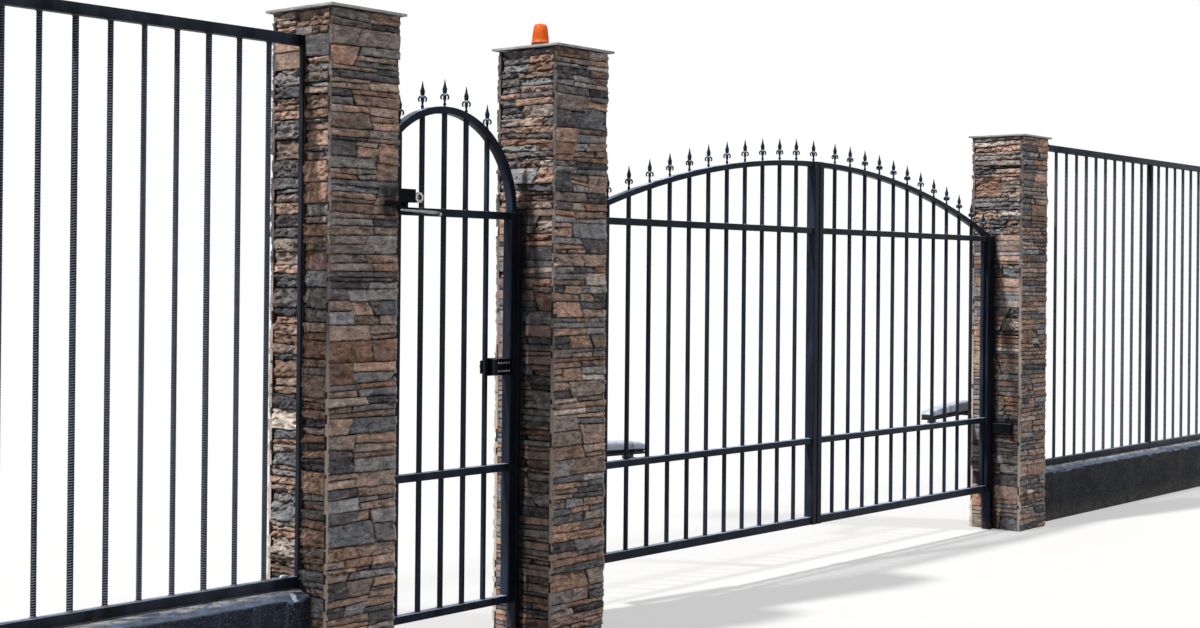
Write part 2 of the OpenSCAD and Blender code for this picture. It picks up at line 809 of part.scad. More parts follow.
on_side(-1) { leaf_spears(); stile_spear(); }  // left_leaf_spears
on_side(-1) leaf_bracket();  // left_leaf_bracket
on_side(-1) rear_bracket();  // left_rear_bracket
on_side(-1) opener_base();  // left_opener_base
on_side(-1) opener_cover();  // left_opener_cover
on_side(-1) opener_carriage();  // left_opener_carriage
on_side(1) hinge_post();  // right_hinge_post
on_side(1) leaf_stiles();  // right_leaf_stiles
on_side(1) leaf_rails();  // right_leaf_rails
on_side(1) leaf_arch();  // right_leaf_arch
on_side(1) leaf_bar_set();  // right_leaf_bar_set
on_side(1) leaf_spears();  // right_leaf_spears
on_side(1) leaf_bracket();  // right_leaf_bracket
on_side(1) rear_bracket();  // right_rear_bracket
on_side(1) opener_base();  // right_opener_base
on_side(1) opener_cover();  // right_opener_cover
on_side(1) opener_carriage();  // right_opener_carriage
side_box();
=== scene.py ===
import math
import random

import bmesh
import bpy
from mathutils import Matrix, Vector, noise


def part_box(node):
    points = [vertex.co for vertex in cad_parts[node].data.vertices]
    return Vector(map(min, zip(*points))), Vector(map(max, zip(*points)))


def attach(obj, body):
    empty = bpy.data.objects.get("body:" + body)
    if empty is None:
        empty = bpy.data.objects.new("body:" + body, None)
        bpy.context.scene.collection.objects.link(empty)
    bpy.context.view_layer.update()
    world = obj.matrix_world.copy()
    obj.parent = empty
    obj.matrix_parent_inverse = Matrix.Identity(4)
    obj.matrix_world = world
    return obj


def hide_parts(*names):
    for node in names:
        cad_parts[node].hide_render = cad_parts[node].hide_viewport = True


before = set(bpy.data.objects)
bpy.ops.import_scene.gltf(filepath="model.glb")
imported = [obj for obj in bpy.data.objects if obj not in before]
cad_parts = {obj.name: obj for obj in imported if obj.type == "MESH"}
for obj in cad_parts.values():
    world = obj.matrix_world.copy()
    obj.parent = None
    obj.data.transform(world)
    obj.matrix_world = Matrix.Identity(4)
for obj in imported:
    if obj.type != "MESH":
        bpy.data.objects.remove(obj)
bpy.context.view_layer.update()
scene = bpy.context.scene


# Camera: focal length and drop in pixels of the frame, turns in radians, place in metres

SENSOR_W = 36.0
FRAME_W = 1200.0
VIEW_F = 1730.24
VIEW_DROP = -43.23
VIEW_YAW = 0.86976
VIEW_PITCH = 0.00311
VIEW_ROLL = 0.00963
VIEW_PLACE = Vector((-6.25466, -5.58797, 1.71179))


def gateway_camera():
    forward = Vector((
        math.sin(VIEW_YAW) * math.cos(VIEW_PITCH),
        math.cos(VIEW_YAW) * math.cos(VIEW_PITCH),
        math.sin(VIEW_PITCH),
    ))
    level_right = Vector((math.cos(VIEW_YAW), -math.sin(VIEW_YAW), 0.0))
    level_up = level_right.cross(forward)
    right = level_right * math.cos(VIEW_ROLL) + level_up * math.sin(VIEW_ROLL)
    up = level_up * math.cos(VIEW_ROLL) - level_right * math.sin(VIEW_ROLL)
    data = bpy.data.cameras.new("gateway_camera")
    data.sensor_fit = "HORIZONTAL"
    data.sensor_width = SENSOR_W
    data.lens = SENSOR_W * VIEW_F / FRAME_W
    data.shift_y = VIEW_DROP / FRAME_W
    data.clip_end = 200.0
    camera = bpy.data.objects.new("gateway_camera", data)
    scene.collection.objects.link(camera)
    heading = Matrix((right, up, -forward)).transposed().to_4x4()
    camera.matrix_world = Matrix.Translation(VIEW_PLACE) @ heading
    scene.camera = camera


gateway_camera()
scene.view_settings.view_transform = "Standard"


# Sizes the pieces share, in metres

PILLAR_HALF = 0.190
STONE_SKIN = 0.028
FRONT_SKIN = 0.018
LEFT_X = -1.380
MIDDLE_X = 0.0
RIGHT_X = 4.780
DRIVE_MID = 2.390
LEAF_Y = 0.045
ARCH_R = 6.3622
ARCH_MID_Z = -3.9622
WICKET_MID = -0.690
WICKET_ARCH_R = 0.467
WICKET_ARCH_Z = 2.010
LEAF_OFFSETS = [0.208 + 0.171 * k for k in range(12)]
WICKET_OFFSETS = [0.140 * k for k in (-2, -1, 0, 1, 2)]


# Node trees


class Tree:
    """Nodes and links of one material or node group, added in the order they are used."""

    def __init__(self, tree):
        self.tree = tree

    def add(self, kind, values=(), **settings):
        node = self.tree.nodes.new(kind)
        for key, value in settings.items():
            setattr(node, key, value)
        for key, value in dict(values).items():
            self.set(node, key, value)
        return node

    def set(self, node, key, value):
        if isinstance(value, bpy.types.NodeSocket):
            self.tree.links.new(value, node.inputs[key])
        else:
            node.inputs[key].default_value = value

    def math(self, operation, a, b=0.0, clamp=False):
        return self.add("ShaderNodeMath", {0: a, 1: b}, operation=operation, use_clamp=clamp).outputs[0]

    def times(self, a, b, clamp=False):
        return self.math("MULTIPLY", a, b, clamp)

    def plus(self, a, b, clamp=False):
        return self.math("ADD", a, b, clamp)

    def mix(self, factor, a, b, blend="MIX"):
        node = self.add("ShaderNodeMix", {0: factor, 6: a, 7: b}, data_type="RGBA", blend_type=blend)
        return node.outputs[2]

    def remap(self, value, low, high, to_low=0.0, to_high=1.0):
        return self.add("ShaderNodeMapRange", {0: value, 1: low, 2: high, 3: to_low, 4: to_high}).outputs[0]

    def lay(self, under, value, low, high, over, amount=1.0):
        """Lays one colour over another where value runs from low to high."""
        return self.mix(self.remap(value, low, high, 0.0, amount), under, over)

    def noise(self, where, scale, detail=3.0, rough=0.55, warp=0.0):
        return self.add("ShaderNodeTexNoise", {
            "Vector": where,
            "Scale": scale,
            "Detail": detail,
            "Roughness": rough,
            "Distortion": warp,
        }).outputs["Fac"]

    def place(self):
        return self.add("ShaderNodeTexCoord").outputs["Object"]

    def here(self, stretch=(1.0, 1.0, 1.0)):
        return self.add("ShaderNodeMapping", {"Vector": self.place(), "Scale": stretch}).outputs["Vector"]

    def normal(self):
        return self.add("ShaderNodeNewGeometry").outputs["Normal"]

    def axis(self, vector, letter):
        return self.add("ShaderNodeSeparateXYZ", {"Vector": vector}).outputs[letter]

    def attribute(self, name):
        return self.add("ShaderNodeAttribute", attribute_name=name).outputs["Fac"]

    def group(self, group, values):
        return self.add("ShaderNodeGroup", values, node_tree=group).outputs

    def dust_and_sheen(self, scale, amount):
        return self.group(DUST_AND_SHEEN, {"Scale": scale, "Amount": amount})["Mask"]

    def grain(self, broad, fine, pits):
        return self.group(GRAIN, {"Broad": broad, "Fine": fine, "Pits": pits})

    def rusted(self, colour, scale, amount, rise):
        """Lays rust over a colour, and tells where the rust is."""
        bloom = self.group(RUST, {"Scale": scale, "Amount": amount, "Rise": rise})
        return self.mix(bloom["Mask"], colour, bloom["Tint"]), bloom["Mask"]

    def seen(self):
        """1 for rays that come straight from the eye, or by way of metal or glass."""
        rays = self.add("ShaderNodeLightPath").outputs
        straight = self.math("MAXIMUM", rays["Is Camera Ray"], rays["Is Transmission Ray"])
        return self.math("MAXIMUM", straight, rays["Is Glossy Ray"])


def rgb(red, green, blue):
    """A colour as it looks on a screen, 0 to 255, turned into the renderer's own numbers."""
    linear = []
    for level in (red / 255.0, green / 255.0, blue / 255.0):
        linear.append(level / 12.92 if level <= 0.04045 else ((level + 0.055) / 1.055) ** 2.4)
    return (*linear, 1.0)


FLOAT = "NodeSocketFloat"
COLOUR = "NodeSocketColor"


def new_group(name, inputs, outputs):
    group = bpy.data.node_groups.new(name, "ShaderNodeTree")
    for label, value in inputs.items():
        group.interface.new_socket(name=label, in_out="INPUT", socket_type=FLOAT).default_value = value
    for label, kind in outputs.items():
        group.interface.new_socket(name=label, in_out="OUTPUT", socket_type=kind)
    tree = Tree(group)
    given = tree.add("NodeGroupInput").outputs
    return group, tree, given, tree.add("NodeGroupOutput")


def dust_and_sheen_group():
    """Pale settled dusting on what faces up, in drifts; where a material lays a pale blue over it, it is
    also a painted sky sheen.
    """
    group, tree, given, result = new_group("settled_dust_and_sky_sheen", {"Scale": 20.0, "Amount": 0.6}, {"Mask": FLOAT})
    up = tree.remap(tree.axis(tree.normal(), "Z"), 0.35, 0.95)
    drift = tree.remap(tree.noise(tree.here(), given["Scale"], 4.0, 0.6), 0.3, 0.7, 0.35, 1.0)
    tree.set(result, "Mask", tree.times(tree.times(up, drift), given["Amount"], clamp=True))
    return group


def wear_group():
    """Edges rubbed bare: where the rounded edge turns away from the flat face."""
    group, tree, given, result = new_group(
        "rubbed_edges", {"Width": 0.003, "Amount": 0.6, "Scale": 60.0}, {"Mask": FLOAT})
    rounded = tree.add("ShaderNodeBevel", {"Radius": given["Width"]}, samples=4).outputs["Normal"]
    turn = tree.add("ShaderNodeVectorMath", {0: rounded, 1: tree.normal()}, operation="DOT_PRODUCT")
    edge = tree.remap(turn.outputs["Value"], 0.995, 0.86)
    patch = tree.remap(tree.noise(tree.here(), given["Scale"], 5.0, 0.65), 0.42, 0.62)
    tree.set(result, "Mask", tree.times(tree.times(edge, patch), given["Amount"], clamp=True))
    return group


def rust_group():
    """Specks and blooms of rust, thicker near the ground."""
    group, tree, given, result = new_group(
        "rust_bloom", {"Scale": 30.0, "Amount": 0.4, "Rise": 0.5}, {"Mask": FLOAT, "Tint": COLOUR})
    place = tree.place()
    low = tree.remap(tree.math("DIVIDE", tree.axis(place, "Z"), given["Rise"]), 0.0, 1.0, 1.0, 0.22)
    bloom = tree.noise(place, given["Scale"], 6.0, 0.68, 0.4)
    edge = tree.math("SUBTRACT", 0.78, tree.times(low, given["Amount"]))
    tree.set(result, "Mask", tree.times(tree.math("SUBTRACT", bloom, edge), 14.0, clamp=True))
    fine = tree.noise(place, 420.0, 3.0, 0.6)
    tree.set(result, "Tint", tree.mix(fine, rgb(56, 32, 22), rgb(116, 70, 44)))
    return group


def grain_group():
    """Height of a sprayed or cast skin: a broad swell with fine pits on it."""
    group, tree, given, result = new_group(
        "skin_grain", {"Broad": 60.0, "Fine": 600.0, "Pits": 0.4}, {"Height": FLOAT, "Tone": FLOAT})
    where = tree.here()
    broad = tree.noise(where, given["Broad"], 3.0, 0.5)
    fine = tree.noise(where, given["Fine"], 2.0, 0.6)
    tree.set(result, "Height", tree.plus(broad, tree.times(fine, given["Pits"])))
    tree.set(result, "Tone", broad)
    return group


DUST_AND_SHEEN = dust_and_sheen_group()
WEAR = wear_group()
RUST = rust_group()
GRAIN = grain_group()


def new_material(name, specular=0.5, metallic=0.0):
    material = bpy.data.materials.new(name)
    material.use_nodes = True
    shader = material.node_tree.nodes["Principled BSDF"]
    shader.inputs["Metallic"].default_value = metallic
    shader.inputs["Specular IOR Level"].default_value = specular
    return material, Tree(material.node_tree), shader


def finish(tree, shader, colour, rough, height=None, distance=0.001, strength=0.5):
    tree.set(shader, "Base Color", colour)
    tree.set(shader, "Roughness", rough)
    if height is not None:
        bump = tree.add("ShaderNodeBump", {"Strength": strength, "Distance": distance, "Height": height})
        tree.set(shader, "Normal", bump.outputs["Normal"])


def painted_steel(name, base, light, dust_and_sheen, wear, rust, rise, rough, specular, grain=70.0, sun_side_sheen=0.0):
    """Black paint on steel: a broad drift in tone, a dusting with a painted sky sheen on top, painted
    highlights on the ribs, a painted sun sheen on the faces toward -X, rubbed edges and rust.
    """
    material, tree, shader = new_material(name, specular)
    # Painted sky reflection: the paint's reflections are tinted blue.
    shader.inputs["Specular Tint"].default_value = (0.66, 0.80, 1.0, 1.0)
    skin = tree.grain(grain, grain * 9.0, 0.35)
    drift = tree.noise(tree.here((1.0, 1.0, 0.35)), 9.0, 5.0, 0.6)
    colour = tree.lay(base, drift, 0.35, 0.68, light)
    # Tops in drifts turn a pale blue grey: a settled dusting and a painted sky sheen.
    top_dust_and_sheen = tree.dust_and_sheen(26.0, dust_and_sheen)
    colour = tree.mix(top_dust_and_sheen, colour, rgb(146, 160, 184))
    # Painted highlight: the rib crests are lightened to a pale blue grey, partly rubbed wear.
    colour = tree.lay(colour, tree.attribute("rib"), 0.55, 0.95, rgb(124, 132, 148), 0.62)
    # Painted sun sheen: in patches, faces turned toward -X are lightened to a blue grey, as on the sunward
    # side.
    if sun_side_sheen:
        patch = tree.noise(tree.here((1.0, 1.0, 0.25)), 7.0, 5.0, 0.6, 0.4)
        patch = tree.remap(patch, 0.42, 0.60, 0.15 * sun_side_sheen, sun_side_sheen)
        colour = tree.lay(colour, tree.axis(tree.normal(), "X"), -0.70, -0.95, rgb(54, 62, 82), patch)
    rubbed = tree.group(WEAR, {"Width": 0.0025, "Amount": wear, "Scale": 55.0})["Mask"]
    colour = tree.mix(rubbed, colour, rgb(92, 92, 94))
    colour, rusty = tree.rusted(colour, 34.0, rust, rise)
    shine = tree.remap(skin["Tone"], 0.3, 0.7, rough - 0.07, rough + 0.09)
    shine = tree.plus(shine, tree.times(rusty, 0.35))
    shine = tree.plus(shine, tree.times(top_dust_and_sheen, 0.3), clamp=True)
    finish(tree, shader, colour, shine, skin["Height"], 0.0006, 0.35)
    return material


# The blue cast in these near-black paint colours is a painted sky tint over their dark paint.
GATE_PAINT = painted_steel(
    "gate_paint", rgb(11, 14, 20), rgb(26, 31, 41), 1.0, 0.35, 0.26, 0.40, 0.34, 0.07, sun_side_sheen=0.30)
RAILING_PAINT = painted_steel(
    "railing_paint", rgb(10, 12, 17), rgb(34, 39, 49), 0.55, 0.30, 0.22, 0.90, 0.46, 0.08, grain=120.0)
BRACKET_PAINT = painted_steel(
    "bracket_paint", rgb(9, 10, 13), rgb(18, 20, 25), 0.45, 0.50, 0.30, 0.90, 0.35, 0.08)
LOCK_PAINT = painted_steel("lock_paint", rgb(3, 4, 6), rgb(8, 9, 12), 0.30, 0.45, 0.12, 0.30, 0.16, 0.16)
CLOSER_PAINT = painted_steel(
    "closer_paint", rgb(4, 4, 5), rgb(9, 9, 10), 0.15, 0.30, 0.12, 0.30, 0.55, 0.05)


def bare_metal(name, dark, pale, rough, rust, metallic=0.9, brushed=(1.0, 1.0, 1.0)):
    """Bare or zinc-plated metal with a drift in tone and specks of rust."""
    material, tree, shader = new_material(name, metallic=metallic)
    drift = tree.noise(tree.here(brushed), 40.0, 5.0, 0.65)
    colour = tree.lay(dark, drift, 0.32, 0.68, pale)
    colour, rusty = tree.rusted(colour, 60.0, rust, 3.0)
    skin = tree.grain(180.0, 900.0, 0.5)
    shine = tree.remap(drift, 0.3, 0.7, rough - 0.08, rough + 0.12)
    shine = tree.plus(shine, tree.times(rusty, 0.4), clamp=True)
    finish(tree, shader, colour, shine, skin["Height"], 0.0003, 0.3)
    return material


RAILING_WELD = bare_metal("railing_weld", rgb(22, 23, 26), rgb(66, 64, 64), 0.60, 0.26, 0.1)
WELD = bare_metal("weld_bead", rgb(70, 72, 76), rgb(150, 152, 154), 0.45, 0.34, 0.4)
ZINC = bare_metal("bolt_zinc", rgb(96, 98, 100), rgb(165, 166, 166), 0.42, 0.38, 0.6)
ALUMINIUM = bare_metal("cast_aluminium", rgb(140, 143, 148), rgb(196, 199, 204), 0.36, 0.10)
POLISHED = bare_metal(
    "polished_arm", rgb(104, 108, 116), rgb(176, 180, 188), 0.34, 0.14, brushed=(1.0, 1.0, 8.0))
BUTTON = bare_metal("button_steel", rgb(150, 152, 156), rgb(205, 207, 210), 0.24, 0.10)
RUSTY = bare_metal("rusty_plug", rgb(40, 26, 20), rgb(128, 84, 52), 0.70, 0.36, 0.3)

# The stones' colours along their tone: tan, brown, grey brown, grey, near black, blue grey, pale

STONE_RAMP = (
    (0.00, rgb(150, 117, 100)),
    (0.15, rgb(170, 143, 128)),
    (0.17, rgb(142, 121, 109)),
    (0.32, rgb(166, 146, 134)),
    (0.35, rgb(136, 123, 115)),
    (0.47, rgb(160, 149, 142)),
    (0.51, rgb(122, 120, 120)),
    (0.62, rgb(150, 147, 147)),
    (0.65, rgb(76, 76, 80)),
    (0.76, rgb(100, 99, 103)),
    (0.79, rgb(110, 113, 119)),
    (0.88, rgb(136, 138, 143)),
    (0.93, rgb(178, 170, 162)),
    (1.00, rgb(190, 178, 166)),
)


def stone_material():
    """Stacked ledge stone. Each stone carries its own tone and brightness, with painted shade in its joints,
    along its lower edge and in its recesses, and its sawn ends are marked.
    """
    material, tree, shader = new_material("ledge_stone", 0.08)
    ramp = tree.add("ShaderNodeValToRGB", {"Fac": tree.attribute("tone")})
    ramp.color_ramp.interpolation = "LINEAR"
    while len(ramp.color_ramp.elements) < len(STONE_RAMP):
        ramp.color_ramp.elements.new(0.5)
    for element, (at, colour) in zip(ramp.color_ramp.elements, STONE_RAMP):
        element.position = at
        element.color = colour
    colour = ramp.outputs["Color"]
    bed = tree.here((1.0, 1.0, 6.0))
    flat = tree.here()
    streak = tree.noise(bed, 15.0, 8.0, 0.70, 0.4)
    blotch = tree.noise(flat, 26.0, 7.0, 0.66, 0.7)
    cloud = tree.noise(flat, 8.0, 4.0, 0.55, 0.8)
    grit = tree.noise(flat, 240.0, 4.0, 0.7)
    colour = tree.lay(colour, streak, 0.52, 0.68, tree.mix(0.5, colour, rgb(186, 168, 152)), 0.8)
    colour = tree.lay(colour, streak, 0.46, 0.30, tree.mix(0.6, colour, rgb(58, 55, 56)), 0.8)
    colour = tree.lay(colour, blotch, 0.56, 0.70, rgb(152, 112, 88), 0.38)
    colour = tree.lay(colour, cloud, 0.54, 0.68, rgb(118, 118, 124), 0.45)
    bedding = tree.math("ABSOLUTE", tree.math("SUBTRACT", streak, 0.5))
    colour = tree.lay(colour, bedding, 0.016, 0.003, rgb(46, 42, 41), 0.62)
    flaked = tree.math("ABSOLUTE", tree.math("SUBTRACT", blotch, 0.44))
    colour = tree.lay(colour, flaked, 0.012, 0.002, rgb(52, 47, 45), 0.40)
    level = tree.remap(tree.attribute("shade"), 0.0, 1.0, 0.64, 1.58)
    level = tree.times(level, tree.remap(grit, 0.3, 0.7, 0.66, 1.32))
    level = tree.times(level, tree.remap(blotch, 0.32, 0.68, 0.70, 1.30))
    grey = tree.add("ShaderNodeCombineColor", {0: level, 1: level, 2: level}).outputs[0]
    colour = tree.mix(1.0, colour, grey, "MULTIPLY")
    # The sawn ends are paler low down and darker toward the top.
    higher_up = tree.plus(tree.axis(tree.place(), "Z"), tree.times(tree.noise(flat, 2.6, 3.0), 1.6))
    cut = tree.lay(rgb(170, 157, 148), higher_up, 1.7, 2.7, rgb(74, 71, 72))
    cut = tree.lay(cut, blotch, 0.52, 0.68, rgb(128, 118, 112))
    sawn = tree.attribute("sawn")
    colour = tree.mix(tree.times(sawn, 0.92), colour, cut)
    # Painted shade: toward near black in the joints, under each stone's lower edge, in creases and in
    # recesses.
    colour = tree.mix(tree.times(tree.attribute("recess_shade"), 0.95, clamp=True), colour, rgb(24, 21, 20))
    colour = tree.mix(tree.times(tree.attribute("stain"), 0.88, clamp=True), colour, rgb(22, 23, 26))
    layers = tree.noise(bed, 38.0, 8.0, 0.74, 0.5)
    height = tree.plus(tree.times(tree.math("SNAP", layers, 0.075), 0.7), tree.times(layers, 0.5))
    height = tree.plus(height, tree.times(tree.noise(flat, 110.0, 7.0, 0.76, 0.4), 0.65))
    height = tree.times(height, tree.math("SUBTRACT", 1.0, tree.times(sawn, 0.8)))
    finish(tree, shader, colour, tree.remap(grit, 0.3, 0.7, 0.78, 0.95), height, 0.0120, 1.0)
    return material


STONE = stone_material()


def mortar(name, specular, scale, dark, pale, least, most, depth):
    """Lumpy mortar between two colours; least and most bound how rough it is."""
    material, tree, shader = new_material(name, specular)
    lumps = tree.noise(tree.here(), scale, 5.0, 0.65)
    colour = tree.lay(dark, lumps, 0.3, 0.7, pale)
    finish(tree, shader, colour, tree.remap(lumps, 0.3, 0.7, least, most), lumps, depth, 0.6)
    return material


MORTAR = mortar("mortar_core", 0.04, 70.0, rgb(30, 26, 24), rgb(58, 50, 45), 0.88, 0.97, 0.003)
PALE_MORTAR = mortar("pale_mortar", 0.1, 160.0, rgb(132, 134, 138), rgb(186, 188, 190), 0.78, 0.92, 0.002)


def cap_material():
    """Thin painted sheet, weathered, with streaks running off the edges."""
    material, tree, shader = new_material("cap_sheet", 0.2)
    cloud = tree.noise(tree.here(), 7.0, 5.0, 0.6, 0.4)
    runs = tree.noise(tree.here((26.0, 26.0, 2.0)), 3.0, 4.0, 0.6)
    specks = tree.noise(tree.here(), 190.0, 4.0, 0.7)
    colour = tree.lay(rgb(98, 100, 103), cloud, 0.35, 0.65, rgb(140, 141, 141))
    colour = tree.lay(colour, specks, 0.56, 0.64, rgb(196, 196, 192))
    colour = tree.lay(colour, specks, 0.44, 0.36, rgb(44, 45, 48))
    colour = tree.lay(colour, runs, 0.52, 0.68, rgb(104, 100, 94), 0.45)
    colour = tree.mix(tree.dust_and_sheen(14.0, 0.4), colour, rgb(140, 134, 122))
    skin = tree.grain(14.0, 500.0, 0.12)
    finish(tree, shader, colour, tree.remap(cloud, 0.3, 0.7, 0.38, 0.58), skin["Height"], 0.004, 0.4)
    return material


CAP_SHEET = cap_material()
BLOT_PLACE = (-1.640, -0.070, 0.395)
BLOT_SIZE = (0.015, 0.026, 0.050)


def concrete_material():
    """Cast wall under thick black paint, its blue cast a painted sky tint: streaks, pale specks, and a
    dusting with a painted sky sheen on the sloping top.

    The right wall is made darker and less streaked, as painted shade, and the left one has a pale blot.
    """
    material, tree, shader = new_material("painted_concrete", 0.06)
    flat = tree.here()
    place = tree.place()
    # Painted shade: the right wall, past x = 1 to 2 m, is made darker, and its pale streaks and pale grain
    # fainter.
    right = tree.remap(tree.axis(place, "X"), 1.0, 2.0)
    cloud = tree.noise(flat, 5.0, 6.0, 0.62, 0.5)
    fresh = tree.mix(right, rgb(14, 19, 29), rgb(4, 6, 11))
    faded = tree.mix(right, rgb(32, 39, 54), rgb(12, 15, 23))
    colour = tree.lay(fresh, cloud, 0.35, 0.66, faded)
    runs = tree.noise(tree.here((30.0, 30.0, 1.6)), 1.0, 5.0, 0.62, 0.2)
    colour = tree.lay(colour, runs, 0.56, 0.70, rgb(92, 98, 108), tree.remap(right, 0.0, 1.0, 0.34, 0.08))
    chips = tree.noise(flat, 21.0, 7.0, 0.72, 0.8)
    edges = tree.group(WEAR, {"Width": 0.010, "Amount": 0.9, "Scale": 26.0})["Mask"]
    bare = tree.math("MAXIMUM", tree.remap(chips, 0.665, 0.69), edges)
    under = tree.mix(tree.noise(flat, 130.0, 4.0, 0.7), rgb(104, 100, 96), rgb(150, 147, 142))
    colour = tree.mix(bare, colour, under)
    low = tree.remap(tree.axis(place, "Z"), 0.12, 0.0, 0.0, 0.6)
    colour = tree.lay(colour, chips, 0.35, 0.65, rgb(96, 90, 82), low)
    # Painted sky sheen: the up-facing slope turns pale blue, together with a settled dusting; pale crumbs
    # along the ridge use the same mask.
    top_dust_and_sheen = tree.dust_and_sheen(13.0, 0.95)
    colour = tree.mix(top_dust_and_sheen, colour, tree.mix(cloud, rgb(92, 106, 132), rgb(142, 156, 178)))
    specks = tree.noise(flat, 120.0, 3.0, 0.6)
    colour = tree.lay(colour, specks, 0.66, 0.70, rgb(150, 152, 154))
    sandy = tree.noise(flat, 210.0, 4.0, 0.75)
    # Painted shade: fainter pale grain on the right wall.
    pale_grain = tree.remap(right, 0.0, 1.0, 0.5, 0.16)
    colour = tree.lay(colour, sandy, 0.53, 0.64, rgb(92, 100, 118), pale_grain)
    colour = tree.lay(colour, sandy, 0.46, 0.36, rgb(10, 12, 17), 0.8)
    soil = tree.noise(flat, 44.0, 5.0, 0.7)
    colour = tree.lay(colour, soil, 0.58, 0.66, rgb(70, 62, 58), 0.5)
    ridge = tree.remap(tree.math("ABSOLUTE", tree.axis(place, "Y")), 0.066, 0.044)
    crumbs = tree.noise(tree.here((1.0, 2.4, 2.4)), 17.0, 6.0, 0.7, 0.6)
    colour = tree.lay(colour, crumbs, 0.46, 0.52, rgb(186, 180, 172), tree.times(ridge, top_dust_and_sheen))
    around = tree.add("ShaderNodeMapping", {"Vector": place, "Location": BLOT_PLACE, "Scale": BLOT_SIZE},
                      vector_type="TEXTURE").outputs["Vector"]
    blot = tree.add("ShaderNodeVectorMath", {0: around}, operation="LENGTH").outputs["Value"]
    blot = tree.plus(blot, tree.times(chips, 2.4))
    colour = tree.lay(colour, blot, 2.20, 1.95, rgb(176, 182, 190))
    height = tree.math("SUBTRACT", tree.noise(flat, 60.0, 7.0, 0.74), tree.times(bare, 0.4))
    finish(tree, shader, colour, tree.remap(cloud, 0.3, 0.7, 0.42, 0.66), height, 0.012, 1.0)
    return material


CONCRETE = concrete_material()


def moulded(name, low, high, rough, dust_and_sheen=0.35):
    """Moulded plastic: nearly even colour, a fine spark-eroded skin and a light dusting."""
    material, tree, shader = new_material(name, 0.2)
    cloud = tree.noise(tree.here(), 12.0, 4.0, 0.55)
    colour = tree.lay(low, cloud, 0.35, 0.65, high)
    colour = tree.mix(tree.dust_and_sheen(30.0, dust_and_sheen), colour, rgb(150, 146, 138))
    skin = tree.grain(240.0, 700.0, 0.8)
    shine = tree.remap(cloud, 0.3, 0.7, rough - 0.05, rough + 0.07)
    finish(tree, shader, colour, shine, skin["Height"], 0.0003, 0.3)
    return material


OPENER_COVER = moulded("opener_cover", rgb(134, 143, 156), rgb(154, 163, 175), 0.42, 0.10)
OPENER_BASE = moulded("opener_base", rgb(22, 23, 26), rgb(34, 35, 39), 0.55)
LAMP_BASE = moulded("lamp_plastic", rgb(24, 24, 26), rgb(38, 38, 40), 0.5)


def lens_material():
    """Orange lamp glass, dulled, with a light dusting."""
    material, tree, shader = new_material("lamp_lens", 0.16)
    for socket, value in (("Coat Weight", 0.04), ("Coat Roughness", 0.3),
                          ("Transmission Weight", 0.06), ("IOR", 1.49)):
        shader.inputs[socket].default_value = value
    cloud = tree.noise(tree.here(), 30.0, 4.0, 0.6)
    colour = tree.lay(rgb(166, 62, 0), cloud, 0.35, 0.65, rgb(190, 84, 2))
    colour = tree.mix(tree.dust_and_sheen(40.0, 0.2), colour, rgb(190, 100, 44))
    skin = tree.grain(160.0, 800.0, 0.5)
    finish(tree, shader, colour, tree.remap(cloud, 0.3, 0.7, 0.36, 0.50), skin["Height"], 0.0004, 0.3)
    return material


LAMP_LENS = lens_material()


# Piece making


def new_piece(name, bm, body, materials, replaces=(), angle=None):
    """Makes a piece from bm. Given an angle, it is smooth but for edges sharper than that."""
    mesh = bpy.data.meshes.new(name)
    bm.to_mesh(mesh)
    bm.free()
    if angle is not None:
        mesh.polygons.foreach_set("use_smooth", [True] * len(mesh.polygons))
        mesh.set_sharp_from_angle(angle=math.radians(angle))
    for material in materials:
        mesh.materials.append(material)
    piece = bpy.data.objects.new(name, mesh)
    scene.collection.objects.link(piece)
    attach(piece, body)
    if replaces:
        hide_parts(*replaces)


def at(x, y, z):
    return Matrix.Translation((x, y, z))


def turn(degrees, axis="Z"):
    return Matrix.Rotation(math.radians(degrees), 4, axis)


def put(bm, part, move=None):
    """Adds a copy of a finished mesh to bm, moved into place."""
    before = len(bm.verts)
    bm.from_mesh(part)
    if move is not None:
        bm.verts.ensure_lookup_table()
        bmesh.ops.transform(bm, matrix=move, verts=bm.verts[before:])


def as_mesh(bm):
    mesh = bpy.data.meshes.new("part")
    bmesh.ops.recalc_face_normals(bm, faces=bm.faces)
    bm.to_mesh(mesh)
    bm.free()
    return mesh


def turned(profile, steps):
    """A shape turned about Z from (radius, height) points, closed at both poles."""
    bm = bmesh.new()
    verts = [bm.verts.new((radius, 0.0, height)) for radius, height in profile]
    edges = [bm.edges.new(pair) for pair in zip(verts, verts[1:])]
    bmesh.ops.spin(bm, geom=verts + edges, cent=(0, 0, 0), axis=(0, 0, 1), angle=math.tau,
                   steps=steps, use_merge=True, use_duplicate=False)
    bmesh.ops.remove_doubles(bm, verts=bm.verts, dist=0.00002)
    bmesh.ops.recalc_face_normals(bm, faces=bm.faces)
    return bm


def round_angles(steps):
    return [-math.pi + math.tau * (number + 0.5) / steps for number in range(steps)]


def open_edges(items):
    """The edges among items that only one face holds."""
    return [item for item in items
            if isinstance(item, bmesh.types.BMEdge) and len(item.link_faces) == 1]


